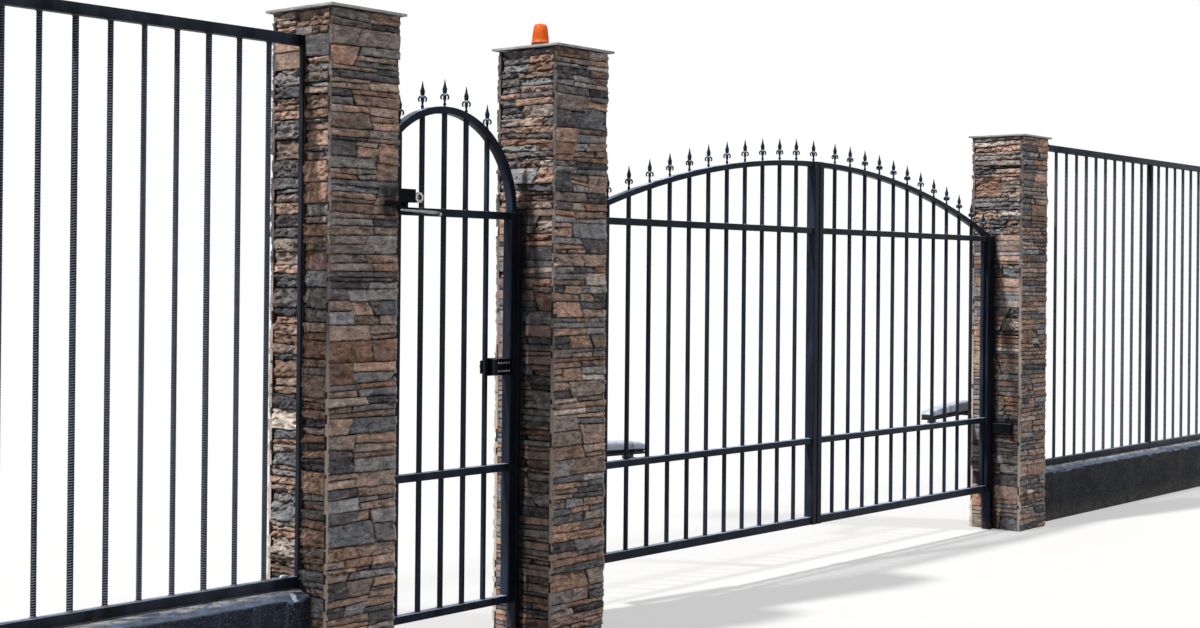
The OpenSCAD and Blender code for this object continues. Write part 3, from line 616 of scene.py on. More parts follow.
def swept(rings):
    """A closed tube through given rings; each ring lists its points in order round the tube."""
    bm = bmesh.new()
    bmesh.ops.create_circle(bm, cap_ends=False, segments=len(rings[0]), radius=1.0)
    bm.verts.ensure_lookup_table()
    order = sorted(bm.verts, key=lambda vert: math.atan2(vert.co.y, vert.co.x))
    loop = bm.edges[:]
    for number, points in enumerate(rings):
        if number:
            grown = bmesh.ops.extrude_edge_only(bm, edges=loop)["geom"]
            fresh = [item for item in grown if isinstance(item, bmesh.types.BMVert)]
            loop = open_edges(grown)
            order = [next(mate for mate in fresh
                          if any(edge.other_vert(mate) is vert for edge in mate.link_edges))
                     for vert in order]
        for vert, point in zip(order, points):
            vert.co = point
    bmesh.ops.holes_fill(bm, edges=open_edges(bm.edges), sides=0)
    return as_mesh(bm)


def soft_ring(along, half, low, high, steps, power):
    """Ring of a rounded oblong across a swept shape: the smaller the power, the squarer."""
    ring = []
    for angle in round_angles(steps):
        side = math.copysign(abs(math.cos(angle)) ** power, math.cos(angle))
        lift = math.copysign(abs(math.sin(angle)) ** power, math.sin(angle))
        ring.append(Vector((along, half * side, 0.5 * (low + high) + 0.5 * (high - low) * lift)))
    return ring


def add_box(bm, low, high):
    low = Vector(low)
    high = Vector(high)
    verts = bmesh.ops.create_cube(bm, size=1.0)["verts"]
    bmesh.ops.scale(bm, vec=high - low, verts=verts)
    bmesh.ops.translate(bm, vec=(low + high) / 2, verts=verts)


def add_cone(bm, steps, foot, top, depth, place):
    bmesh.ops.create_cone(bm, cap_ends=True, segments=steps, radius1=foot, radius2=top, depth=depth,
                          matrix=Matrix.Translation(place))


def round_edges(bm, edges, width, segments=2):
    bmesh.ops.bevel(bm, geom=edges, offset=width, offset_type="OFFSET", affect="EDGES",
                    segments=segments, profile=0.5, material=-1)


def bolt(radius, height):
    """Six-sided bolt head on a washer, standing on z = 0."""
    bm = bmesh.new()
    add_cone(bm, 18, radius * 1.55, radius * 1.5, height * 0.25, (0, 0, height * 0.125))
    add_cone(bm, 6, radius * 1.15, radius * 1.05, height * 0.75, (0, 0, height * 0.62))
    return as_mesh(bm)


# Stone pillars

FINE_GRID = 0.0080
PLAIN_GRID = 0.0135
BAND_LEAST = 0.140
BAND_MOST = 0.162
THIN_STRIP = 0.036
MOST_PROUD = 0.0075
SAWN_END = 0.0025
JOINED_AT_ONCE = 24

# Where each family of tones lies on the ramp, and its share of the stones

STONE_TONES = (
    (0.00, 0.15, 0.20),
    (0.16, 0.32, 0.24),
    (0.34, 0.47, 0.12),
    (0.50, 0.62, 0.15),
    (0.64, 0.76, 0.18),
    (0.78, 0.88, 0.08),
    (0.92, 1.00, 0.03),
)


def pick_tone(rng):
    draw = rng.random()
    for low, high, share in STONE_TONES:
        if draw < share:
            return rng.uniform(low, high)
        draw -= share
    return 0.2


def between(first, second, share):
    return first + (second - first) * share


def size_of(corners):
    """Mean width and height of a panel or stone, given by its four corners."""
    low_left, low_right, high_right, high_left = corners
    wide = 0.5 * (low_right.x + high_right.x - low_left.x - high_left.x)
    high = 0.5 * (high_left.y + high_right.y - low_left.y - low_right.y)
    return wide, high


def cut_stones(rng, corners, found, upright=False):
    """Cuts a panel into strips and blocks with slanted joints."""
    low_left, low_right, high_right, high_left = corners
    wide, high = size_of(corners)
    shortest = min(high_left.y - low_left.y, high_right.y - low_right.y)
    strips = high > 0.098 or (high > 0.044 and rng.random() < 0.52)
    if strips and shortest > THIN_STRIP and not upright:
        share = rng.uniform(0.32, 0.68)
        lean = rng.uniform(-0.005, 0.005) / high
        left_at = between(low_left, high_left, share + lean)
        right_at = between(low_right, high_right, share - lean)
        cut_stones(rng, (low_left, low_right, right_at, left_at), found)
        cut_stones(rng, (left_at, right_at, high_right, high_left), found)
        return
    longest = rng.uniform(0.20, 0.42) if high < THIN_STRIP else rng.uniform(0.17, 0.36)
    if upright or (wide > longest and wide > 0.11):
        share = rng.uniform(0.30, 0.70)
        lean = rng.uniform(-0.30, 0.30) * high / wide
        low_at = between(low_left, low_right, share + lean)
        high_at = between(high_left, high_right, share - lean)
        cut_stones(rng, (low_left, low_at, high_at, high_left), found)
        cut_stones(rng, (low_at, low_right, high_right, high_at), found)
        return
    found.append(corners)


def panel_stones(rng, left, right, low, high):
    """Stones between two uprights, from the ground up, in bands one factory panel high."""
    found = []
    while low < high - 0.001:
        band = rng.uniform(BAND_LEAST, BAND_MOST)
        if high - low - band < 0.07:
            band = high - low
        corners = (Vector((left, low)), Vector((right, low)),
                   Vector((right, low + band)), Vector((left, low + band)))
        cut_stones(rng, corners, found, right - left > 0.25 and rng.random() < 0.35)
        low += band
    return found


def stained(point, stains):
    """Black overspray: 1 at a post or bracket, running out a few centimetres from it."""
    most = 0.0
    for low, high in stains:
        away = math.sqrt(sum(max(0.0, low[axis] - point[axis], point[axis] - high[axis]) ** 2
                             for axis in range(3)))
        if away < 0.06:
            most = max(most, 1.15 - away / 0.034 + 0.75 * noise.noise(point * 34.0))
    return min(1.0, max(0.0, most))


def lay_stone(bm, rng, basis, corners, layers, ends, held, grid, rough, stains):
    """One stone: a fine grid for its broken face, its sides drawn back, and a closed back.

    ends is the width of a face whose stones show sawn ends at both corners, or 0.
    held marks a stone behind a post or bracket, which stays flat.
    """
    low_left, low_right, high_right, high_left = corners
    wide, high = size_of(corners)
    gap = rng.uniform(0.0024, 0.0050)
    tone_at, shade_at, sawn_at, recess_shade_at, stain_at = layers
    verts = bmesh.ops.create_grid(bm, x_segments=max(2, round(wide / grid)),
                                  y_segments=max(2, round(high / grid)), size=0.5)["verts"]
    seed = Vector((rng.uniform(-50, 50), rng.uniform(-50, 50), rng.uniform(-50, 50)))
    inner = min(low_left.x, high_left.x) > 0.03 and max(low_right.x, high_right.x) < ends - 0.03
    deepest = (-0.0105 if inner else -0.0045) if ends else -0.0135
    if held:
        proud = -0.001
        tilt_up = 0.0
        tilt_side = 0.0
        rough = 0.3
    else:
        proud = rng.uniform(deepest, 0.0025)
        proud += rng.uniform(-0.0012, 0.0012)
        tilt_up = rng.uniform(-0.07, 0.09) * rough
        tilt_side = rng.uniform(-0.022, 0.022) * rough
        rough = rough * rng.uniform(0.7, 1.3)
    faces = {face for vert in verts for face in vert.link_faces}
    rim = open_edges({edge for vert in verts for edge in vert.link_edges})
    rim_verts = {vert for edge in rim for vert in edge.verts}
    tone = pick_tone(rng)
    shade = min(1.0, max(0.0, rng.gauss(0.46, 0.25)))
    inset_u = 0.5 * gap / wide
    inset_v = 0.5 * gap / high
    skin = FRONT_SKIN if ends else STONE_SKIN
    for vert in verts:
        share_u = inset_u + (vert.co.x + 0.5) * (1.0 - 2.0 * inset_u)
        closed = inset_v
        if ends:
            along = between(low_left.x, low_right.x, share_u)
            closed *= min(1.0, 0.08 + 20.0 * min(along, ends - along))
        share_v = closed + (vert.co.y + 0.5) * (1.0 - 2.0 * closed)
        spot_on = between(between(low_left, low_right, share_u), between(high_left, high_right, share_u),
                          share_v)
        u = share_u * wide
        v = share_v * high
        spot = Vector((u, v, 0.0)) + seed
        bedded = noise.noise(Vector((spot.x * 7.0, spot.y * 44.0, seed.z)))
        ledge = math.floor(2.6 * bedded + 1.4 * noise.noise(spot * 13.0) + 0.5)
        broken = noise.noise(spot * 24.0)
        split = noise.turbulence(Vector((spot.x * 13.0, spot.y * 30.0, seed.z)), 4, True) - 0.5
        fine = noise.noise(spot * 70.0)
        chipped = Vector((spot.x * 21.0, spot.y * 46.0, seed.z))
        away, centres = noise.voronoi(chipped)
        from_centre = chipped - centres[0]
        lean = noise.cell_vector(centres[0] * 53.0) - Vector((0.5, 0.5, 0.5))
        facet = lean.z + 1.5 * lean.x * from_centre.x + 2.2 * lean.y * from_centre.y
        crease = max(0.0, 0.10 - (away[1] - away[0])) * 10.0
        out = proud + rough * (0.0014 * ledge + 0.0020 * broken - 0.0070 * split + 0.0012 * fine)
        out += rough * (0.0052 * facet - 0.0020 * crease)
        out += tilt_up * (v - high * 0.5) + tilt_side * (u - wide * 0.5)
        recess_shade = 0.0
        if vert in rim_verts:
            chip = 0.0012 + 0.0036 * max(0.0, noise.noise(spot * 27.0 + Vector((7.0, 3.0, 1.0))))
            if not ends or 0.003 < spot_on.x < ends - 0.003:
                out -= chip * (0.5 if held else 0.6 + 0.7 * rough)
                spot_on.y += 0.0016 * noise.noise(spot * 34.0)
            # Painted shade along the rim, strongest under the stone's lower edge.
            recess_shade = 0.46 if v < high * 0.2 else 0.22
        vert.co = Vector((spot_on.x, spot_on.y, max(0.006 - skin, min(out, MOST_PROUD))))
        vert[tone_at] = tone + 0.02 * bedded
        # Painted shade: the stone's own brightness drops where its face is split back and rises where it
        # stands out, and changes with each facet's tilt; creases and recesses get more shade.
        vert[shade_at] = shade + 0.14 * broken - 0.34 * split + 0.22 * lean.y
        vert[recess_shade_at] = recess_shade + 0.30 * crease + max(0.0, -0.4 * broken - 0.2 * bedded)
    drawn = bmesh.ops.extrude_edge_only(bm, edges=rim)["geom"]
    for vert in drawn:
        if isinstance(vert, bmesh.types.BMVert):
            vert.co.z = -skin - 0.002
            # The drawn-back sides in the joints get full painted shade.
            vert[recess_shade_at] = 1.0
    walls = [item for item in drawn if isinstance(item, bmesh.types.BMFace)]
    rear = bmesh.ops.holes_fill(bm, edges=open_edges(drawn), sides=0)
    everything = list(faces) + walls + rear["faces"]
    bmesh.ops.recalc_face_normals(bm, faces=everything)
    for face in walls:
        if ends and not SAWN_END <= face.calc_center_median().x <= ends - SAWN_END:
            for vert in face.verts:
                vert[sawn_at] = 1.0
                vert[recess_shade_at] = 0.0
    for vert in {vert for face in everything for vert in face.verts}:
        vert.co = basis @ vert.co
        vert.co.z = max(0.0, vert.co.z)
        vert[stain_at] = stained(vert.co, stains)


def stone_pillar(name, middle_x, seed, held_places, stains, split=None):
    """All stones of one pillar, with a mortar core that stands for the plain post.

    held_places are (side, left, right, low, top) on a face, stains are boxes in space, and split is
    (left, right, top) of a groove in the left face for the fence's end tube.
    """
    rng = random.Random(seed)
    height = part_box(name)[1].z
    half = PILLAR_HALF
    inner = half - STONE_SKIN
    reach = half - FRONT_SKIN
    sides = (
        ("front", (middle_x - half, -half, 0), (1, 0, 0), (0, -1, 0), 2 * half),
        ("left", (middle_x - half, reach, 0), (0, -1, 0), (-1, 0, 0), 2 * reach),
        ("back", (middle_x + half, half, 0), (-1, 0, 0), (0, 1, 0), 2 * half),
        ("right", (middle_x + half, -reach, 0), (0, 1, 0), (1, 0, 0), 2 * reach),
    )
    joined = {"seen": bmesh.new(), "back": bmesh.new()}
    if split:
        groove_left, groove_right, groove_top = split
    for side, corner, along, outward, width in sides:
        basis = Matrix.Translation(corner) @ Matrix((along, (0, 0, 1), outward)).transposed().to_4x4()
        if side == "left" and split:
            stones = panel_stones(rng, 0.0, groove_left, 0.0, groove_top)
            stones += panel_stones(rng, groove_right, width, 0.0, groove_top)
            stones += panel_stones(rng, 0.0, width, groove_top, height)
        else:
            stones = panel_stones(rng, 0.0, width, 0.0, height)
        seen = side in ("front", "left")
        sawn = side in ("front", "back")
        for start in range(0, len(stones), JOINED_AT_ONCE):
            bm = bmesh.new()
            layers = [bm.verts.layers.float.new(key) for key in ("tone", "shade", "sawn", "recess_shade", "stain")]
            for corners in stones[start:start + JOINED_AT_ONCE]:
                u0 = min(corners[0].x, corners[3].x)
                u1 = max(corners[1].x, corners[2].x)
                v0 = min(corners[0].y, corners[1].y)
                v1 = max(corners[2].y, corners[3].y)
                held = any(side == held_side and u0 < right and u1 > left and v0 < top and v1 > low
                           for held_side, left, right, low, top in held_places)
                lay_stone(bm, rng, basis, corners, layers, width if sawn else 0.0, held,
                          FINE_GRID if seen else PLAIN_GRID, 1.15 if sawn else 2.25, stains)
            part = bpy.data.meshes.new("stones")
            bm.to_mesh(part)
            bm.free()
            joined["seen" if seen else "back"].from_mesh(part)
            bpy.data.meshes.remove(part)
    new_piece(name + "_stones", joined["seen"], "gateway", [STONE])
    new_piece(name + "_back_stones", joined["back"], "gateway", [STONE])
    core = bmesh.new()
    foot = 0.001
    top = height - 0.001
    add_box(core, (middle_x - inner + 0.002, -reach - 0.001, foot),
            (middle_x + inner - 0.002, reach + 0.001, top))
    for way in (-1, 1):
        near, far = sorted((way * (reach - 0.003), way * (reach + 0.0015)))
        add_box(core, (middle_x - half + 0.0040, near, foot), (middle_x + half - 0.0040, far, top))
        near, far = sorted((way * (reach - 0.002), way * (half - 0.0095)))
        for end in (-1, 1):
            left, right = sorted((middle_x + end * (half - 0.0022), middle_x + end * (half - 0.0300)))
            add_box(core, (left, near, foot), (right, far, top))
    if split:
        add_box(core, (middle_x - half + 0.001, reach - groove_right - 0.002, foot),
                (middle_x - inner + 0.003, reach - groove_left + 0.002, groove_top))
    new_piece(name + "_core", core, "gateway", [MORTAR], (name,))


stone_pillar("left_pillar", LEFT_X, 11, (
    ("right", 0.172, 0.266, 0.0, 2.02),
    ("right", 0.0, 0.09, 1.95, 2.04),
    ("front", 0.29, 0.38, 1.98, 2.04),
    ("left", 0.140, 0.200, 2.63, 2.72),
), (
    ((-1.190, 0.012, 0.0), (-1.165, 0.078, 2.016)),
    ((-1.262, -0.200, 1.975), (-1.186, -0.105, 2.070)),
), (0.1665, 0.1935, 2.700))
stone_pillar("middle_pillar", MIDDLE_X, 23, (
    ("left", 0.096, 0.160, 0.0, 2.02),
    ("right", 0.180, 0.256, 0.0, 2.02),
    ("back", 0.0, 0.19, 0.70, 0.84),
), (
    ((-0.222, 0.010, 0.0), (-0.186, 0.080, 2.016)),
    ((0.186, 0.010, 0.0), (0.232, 0.080, 2.016)),
))
stone_pillar("right_pillar", RIGHT_X, 37, (
    ("left", 0.096, 0.165, 0.0, 2.02),
    ("left", 0.15, 0.31, 0.66, 0.74),
    ("back", 0.19, 0.38, 0.70, 0.84),
), (
    ((4.545, 0.010, 0.0), (4.595, 0.080, 2.016)),
    ((4.550, -0.130, 0.665), (4.592, 0.020, 0.735)),
))


# Caps

CAP_HALF = 0.211
CAP_LOW = 0.001
CAP_TOP = 0.0125


def sheet_cap():
    """Thin sheet folded down at its rim, slightly crowned, with a turned hem."""
    bm = bmesh.new()
    add_box(bm, (-CAP_HALF, -CAP_HALF, CAP_LOW), (CAP_HALF, CAP_HALF, CAP_TOP))
    round_edges(bm, bm.edges[:], 0.0016)
    bm.normal_update()
    top = [face for face in bm.faces if face.normal.z > 0.99 and face.calc_area() > 0.05]
    bmesh.ops.inset_region(bm, faces=top, thickness=0.010, depth=0.0)
    bmesh.ops.inset_region(bm, faces=top, thickness=0.012, depth=0.0014)
    bottom = [face for face in bm.faces if face.normal.z < -0.99 and face.calc_area() > 0.05]
    bmesh.ops.inset_region(bm, faces=bottom, thickness=0.012, depth=0.0)
    bmesh.ops.inset_region(bm, faces=bottom, thickness=0.002, depth=0.0)
    for face in bottom:
        for vert in face.verts:
            vert.co.z += 0.003
    return as_mesh(bm)


caps = bmesh.new()
cap = sheet_cap()
for pillar, middle_x in (("left_pillar", LEFT_X), ("middle_pillar", MIDDLE_X), ("right_pillar", RIGHT_X)):
    put(caps, cap, at(middle_x, 0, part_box(pillar)[1].z))
new_piece("sheet_caps", caps, "gateway", [CAP_SHEET], ("pillar_caps",), 35)


# Warning lamp


def lamp():
    low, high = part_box("lamp_base")
    middle = Vector(((low.x + high.x) / 2, (low.y + high.y) / 2, low.z))
    base = turned((
        (0.0, 0.0), (0.0455, 0.0), (0.046, 0.001), (0.046, 0.005), (0.0445, 0.0065), (0.0445, 0.018),
        (0.0458, 0.0195), (0.0458, 0.0265), (0.0445, 0.0278), (0.040, 0.028), (0.0, 0.028),
    ), 48)
    bmesh.ops.translate(base, vec=middle, verts=base.verts)
    new_piece("lamp_foot", base, "gateway", [LAMP_BASE], ("lamp_base",), 35)
    low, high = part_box("lamp_lens")
    middle.z = low.z
    lens = turned((
        (0.0, 0.0), (0.042, 0.0), (0.0435, 0.0015), (0.0435, 0.008), (0.0420, 0.010), (0.0411, 0.022),
        (0.0399, 0.034), (0.0386, 0.046), (0.0371, 0.057), (0.0355, 0.067), (0.0339, 0.076),
        (0.0319, 0.084), (0.0288, 0.090), (0.0235, 0.0942), (0.0150, 0.0962), (0.0065, 0.0968),
        (0.0, high.z - low.z),
    ), 120)
    for vert in lens.verts:
        radius = math.hypot(vert.co.x, vert.co.y)
        if 0.009 < vert.co.z < 0.088 and radius > 0.02:
            flute = 0.0011 * (0.5 - 0.5 * math.cos(math.atan2(vert.co.y, vert.co.x) * 40.0))
            vert.co.x *= (radius - flute) / radius
            vert.co.y *= (radius - flute) / radius
    bmesh.ops.translate(lens, vec=middle, verts=lens.verts)
    new_piece("lamp_glass", lens, "gateway", [LAMP_LENS], ("lamp_lens",), 50)


lamp()


# Railings

RIB_PITCH = 0.0097
RIB_R = 0.0125
SEAM_R = 0.0121
BAR_R = 0.0106


def ribbed_bar(length, sides, ring):
    """Ribbed reinforcing bar: a grid rolled into a tube, with slanted ribs and two long seams."""
    turns = round(length / RIB_PITCH)
    pitch = length / turns
    rows = turns * len(ring)
    bm = bmesh.new()
    rib_at = bm.verts.layers.float.new("rib")
    bmesh.ops.create_grid(bm, x_segments=sides, y_segments=rows, size=0.5)
    for vert in bm.verts:
        angle = (vert.co.x + 0.5) * math.tau
        row = round((vert.co.y + 0.5) * rows)
        share, radius = ring[row % len(ring)]
        height = (row // len(ring) + share) * pitch
        vert[rib_at] = 1.0 if radius == RIB_R else 0.0
        if round((vert.co.x + 0.5) * sides) % (sides // 2) == 0:
            radius = max(radius, SEAM_R)
        if 0 < row < rows:
            height += 0.0020 * math.cos(angle)
        vert.co = Vector((radius * math.cos(angle), radius * math.sin(angle), height))
    bmesh.ops.remove_doubles(bm, verts=bm.verts, dist=0.0001)
    bmesh.ops.holes_fill(bm, edges=open_edges(bm.edges), sides=0)
    return as_mesh(bm)


def weld_ring(seed):
    """A lumpy fillet of weld round the foot of a bar, standing on z = 0."""
    tall = 0.005
    bead = bmesh.new()
    add_cone(bead, 14, 0.0165, 0.0122, tall, (0, 0, 0))
    for vert in bead.verts:
        wobble = noise.noise(vert.co * 150.0 + Vector((seed * 7.0, seed, 0)))
        vert.co.x *= 1.0 + 0.14 * wobble
        vert.co.y *= 1.0 - 0.14 * wobble
    bmesh.ops.translate(bead, vec=(0, 0, tall * 0.5 - 0.0004), verts=bead.verts)
    return as_mesh(bead)


def railing(name, node, tubes, bays, bottom, top, sides, ring):
    """Welded frame of tubes, given by their corners, with ribbed bars at each bay's places."""
    rails = bmesh.new()
    for low, high in tubes:
        bm = bmesh.new()
        add_box(bm, low, high)
        round_edges(bm, bm.edges[:], 0.0025)
        put(rails, as_mesh(bm))
    new_piece(name + "_rails", rails, "gateway", [RAILING_PAINT], (node,), 35)
    bar = ribbed_bar(top - bottom + 0.004, sides, ring)
    welds = bmesh.new()
    for number, bay in enumerate(bays, 1):
        bars = bmesh.new()
        for x in bay:
            put(bars, bar, at(x, 0, bottom - 0.002) @ Matrix.Rotation(x * 5.0, 4, "Z"))
            put(welds, weld_ring(x), at(x, 0, bottom))
            put(welds, weld_ring(-x), at(x, 0, top) @ turn(180, "X"))
        new_piece("%s_bars_%d" % (name, number), bars, "gateway", [RAILING_PAINT])
    new_piece(name + "_welds", welds, "gateway", [RAILING_WELD], (), 60)


railing(
    "left_fence", "left_railing",
    (
        ((-3.710, -0.0200, 2.655), (-1.6806, 0.0200, 2.700)),
        ((-1.6796, -0.0196, 2.6546), (-1.570, 0.0198, 2.6994)),
        ((-3.709, -0.0198, 0.415), (-1.571, 0.0198, 0.457)),
        ((-3.710, -0.0199, 0.409), (-3.670, 0.0199, 2.656)),
        ((-1.578, -0.0199, 0.409), (-1.5702, 0.0040, 2.656)),
    ),
    [[-1.590 - 0.150 * k for k in range(1, 14)]],
    0.457, 2.655, 10, ((0.0, BAR_R), (0.62, BAR_R), (0.81, RIB_R)))
railing(
    "right_fence", "right_railing",
    (
        ((4.970, -0.0200, 2.645), (9.430, 0.0200, 2.690)),
        ((4.971, -0.0198, 0.380), (9.429, 0.0198, 0.422)),
        ((4.970, -0.0199, 0.374), (5.010, 0.0199, 2.646)),
        ((7.180, -0.0199, 0.374), (7.220, 0.0199, 2.646)),
        ((9.390, -0.0199, 0.374), (9.430, 0.0199, 2.646)),
    ),
    [[4.990 + 0.170 * k for k in range(1, 13)], [4.990 + 0.170 * k for k in range(14, 26)]],
    0.422, 2.645, 8, ((0.0, BAR_R), (0.70, RIB_R)))


# Plinths

PLINTH_FALL = 0.024
PLINTH_RIDGE = 0.032
PLINTH_STEP = 0.026


def plinth(name, node, seed):
    """Low cast wall: its top falls from a flat ridge, with knocked edges and trowelled lumps."""
    low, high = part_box(node)
    half = high.y
    length = high.x - low.x
    bm = bmesh.new()
    add_box(bm, low, high)
    steps = int(length / PLINTH_STEP)
    cuts = [((low.x + length * number / steps, 0, 0), (1, 0, 0)) for number in range(1, steps)]
    cuts += [((0, 0, (high.z - PLINTH_FALL - 0.016) * number / 9), (0, 0, 1)) for number in range(1, 10)]
    cuts += [((0, y, 0), (0, 1, 0))
             for y in (-0.088, -0.066, -0.048, -PLINTH_RIDGE, 0.0, PLINTH_RIDGE, 0.048, 0.066, 0.088)]
    for place, facing in cuts:
        bmesh.ops.bisect_plane(bm, geom=bm.verts[:] + bm.edges[:] + bm.faces[:], plane_co=place,
                               plane_no=facing)
    for vert in bm.verts:
        if vert.co.z > high.z - 0.001:
            vert.co.z -= PLINTH_FALL * max(0.0, (abs(vert.co.y) - PLINTH_RIDGE) / (half - PLINTH_RIDGE))
    bm.normal_update()
    sharp = [edge for edge in bm.edges if len(edge.link_faces) == 2 and edge.calc_face_angle() > 0.8]
    round_edges(bm, sharp, 0.009, 3)
    shift = Vector((seed, seed * 2.0, 0))
    for vert in bm.verts:
        spot = vert.co + shift
        swell = noise.noise(spot * 5.0)
        lump = noise.noise(spot * 17.0)
        nick = max(0.0, noise.noise(spot * Vector((13.0, 13.0, 30.0))) - 0.12)
        slope = vert.co.z > high.z - PLINTH_FALL - 0.012
        if abs(vert.co.y) > half - 0.012:
            inward = 0.0020 * (1.0 - swell) + 0.0012 * lump + (0.022 * nick if slope else 0.0)
            vert.co.y -= inward * math.copysign(1.0, vert.co.y)
        if slope and abs(vert.co.y) > PLINTH_RIDGE * 0.9:
            vert.co.z -= 0.0022 * (1.0 - lump) + (0.018 * nick if abs(vert.co.y) > 0.07 else 0.0)
        elif slope:
            vert.co.z -= 0.0008 * (1.0 - lump)
        vert.co.y = max(low.y, min(high.y, vert.co.y))
        vert.co.z = max(0.0, vert.co.z)
    new_piece(name, bm, "gateway", [CONCRETE], (node,), 60)


plinth("left_wall", "left_plinth", 3.1)
plinth("right_wall", "right_plinth", 8.7)


def mortar_drop():
    """A pale lump of mortar left on the lower rail of the left fence."""
    middle = Vector((-1.636, 0.0, 0.4580))
    size = Vector((0.021, 0.013, 0.0105))
    bm = bmesh.new()
    bmesh.ops.create_icosphere(bm, subdivisions=3, radius=1.0)
    for vert in bm.verts:
        lump = 1.0 + 0.30 * noise.noise(vert.co * 1.9 + Vector((3.0, 1.0, 4.0)))
        vert.co = middle + size * vert.co * lump
    new_piece("mortar_drop", bm, "gateway", [PALE_MORTAR], (), 60)


mortar_drop()


# Spear points


def spear_mesh():
    """Cast spear: stem with a ball, four drooping leaves, a tulip cup and a ridged flame point."""
    whole = bmesh.new()
    put(whole, as_mesh(turned((
        (0.0, -0.006), (0.0062, -0.006), (0.0058, 0.0028), (0.0048, 0.0046), (0.0070, 0.0074),
        (0.0078, 0.0112), (0.0070, 0.0150), (0.0050, 0.0182), (0.0046, 0.0220), (0.0056, 0.0280),
        (0.0074, 0.0350), (0.0080, 0.0420), (0.0066, 0.0480), (0.0052, 0.0530), (0.0056, 0.0570),
        (0.0088, 0.0620), (0.0104, 0.0690), (0.0108, 0.0750), (0.0100, 0.0775), (0.0, 0.0790),
    ), 12)))
    line = (
        (0.0040, 0.0545, 0.0036, 0.0052), (0.0090, 0.0562, 0.0042, 0.0076),
        (0.0140, 0.0535, 0.0044, 0.0084), (0.0172, 0.0475, 0.0042, 0.0078),
        (0.0176, 0.0410, 0.0040, 0.0064), (0.0156, 0.0358, 0.0036, 0.0050),
        (0.0126, 0.0348, 0.0028, 0.0036), (0.0108, 0.0368, 0.0014, 0.0020),
    )
    rings = []
    for number, (reach, height, thick, wide) in enumerate(line):
        ahead = line[min(number + 1, len(line) - 1)]
        behind = line[max(number - 1, 0)]
        run = Vector((ahead[0] - behind[0], 0.0, ahead[1] - behind[1])).normalized()
        outward = Vector((-run.z, 0.0, run.x))
        middle = Vector((reach, 0.0, height))
        rings.append([middle + outward * (thick * math.sin(angle)) + Vector((0, wide * math.cos(angle), 0))
                      for angle in round_angles(6)])
    leaf = swept(rings)
    for quarter in range(4):
        put(whole, leaf, turn(90 * quarter + 45))
    rings = []
    for radius, height in (
            (0.0070, 0.0745), (0.0112, 0.0768), (0.0134, 0.0792), (0.0134, 0.0812), (0.0114, 0.0856),
            (0.0090, 0.0918), (0.0068, 0.0990), (0.0050, 0.1068), (0.0035, 0.1145), (0.0022, 0.1210),
            (0.0009, 0.1258)):
        ring = []
        for angle in round_angles(8):
            ridged = radius * (0.66 + 0.34 * abs(math.cos(2 * angle)))
            ring.append(Vector((ridged * math.cos(angle), ridged * math.sin(angle), height)))
        rings.append(ring)
    put(whole, swept(rings))
    return as_mesh(whole)


SPEAR = spear_mesh()


def drive_top(offset):
    """Height of the driveway arch's top over a point that far from its middle."""
    return ARCH_MID_Z + math.sqrt(ARCH_R * ARCH_R - offset * offset)


def wicket_top(offset):
    return WICKET_ARCH_Z + math.sqrt(WICKET_ARCH_R ** 2 - offset * offset)


def spears(arch, body, rng, middle, sign, offsets, top):
    """Spear points on an arch, each turned a little by hand."""
    bm = bmesh.new()
    for u in offsets:
        skew = Matrix.Rotation(rng.uniform(-0.12, 0.12), 4, "Z")
        put(bm, SPEAR, at(middle + sign * u, LEAF_Y, top(u)) @ skew)
    new_piece(arch + "_points", bm, body, [GATE_PAINT], (arch + "_spears",), 40)


spear_rng = random.Random(5)
spears("right_leaf", "right_leaf", spear_rng, DRIVE_MID, 1, LEAF_OFFSETS, drive_top)
spears("left_leaf", "left_leaf", spear_rng, DRIVE_MID, -1, [0.026] + LEAF_OFFSETS, drive_top)
spears("wicket", "wicket_leaf", spear_rng, WICKET_MID, 1, WICKET_OFFSETS, wicket_top)


# Openers

COVER_FOOT = 0.7925
COVER_SKIRT = 0.8090
COVER_STATIONS = (
    (-0.0298, 0.0330, 0.0480), (-0.0265, 0.0385, 0.0640), (-0.0180, 0.0412, 0.0730),
    (0.0000, 0.0419, 0.0772), (0.0400, 0.0420, 0.0778), (0.1600, 0.0420, 0.0772),
    (0.3000, 0.0420, 0.0755), (0.4400, 0.0418, 0.0700), (0.5600, 0.0416, 0.0635),
    (0.6600, 0.0414, 0.0570), (0.7000, 0.0410, 0.0530), (0.7250, 0.0402, 0.0485),
    (0.7430, 0.0385, 0.0425), (0.7550, 0.0355, 0.0340), (0.7598, 0.0300, 0.0250),
)


def opener(side, sign, heading):
    """Long moulded cover over a dark skirt, made in the opener's own line and turned into place."""
    rings = [soft_ring(along, half, COVER_FOOT, COVER_FOOT + tall, 20, 0.46)
             for along, half, tall in COVER_STATIONS]
    cover = bmesh.new()
    put(cover, swept(rings), at(DRIVE_MID + sign * 2.250, 0.255, 0.0) @ turn(heading))
    for face in cover.faces:
        if face.calc_center_median().z < COVER_SKIRT:
            face.material_index = 1
    new_piece(side + "_opener_shell", cover, side + "_opener",
              [OPENER_COVER, OPENER_BASE], (side + "_opener_cover",), 50)


opener("left", -1.0, -8.76)
opener("right", 1.0, -171.24)


# Closer arms

SHOE = Vector((-1.150, -0.150, 0.0))
ELBOW = Vector((-0.824, -0.070, 0.0))
SPINDLE = Vector((-0.987, -0.008, 0.0))


def lined_up(start, end):
    """Length from start to end, and the move that lays a piece made along X between them."""
    run = end - start
    return run.length, Matrix.Translation(start) @ Matrix.Rotation(math.atan2(run.y, run.x), 4, "Z")


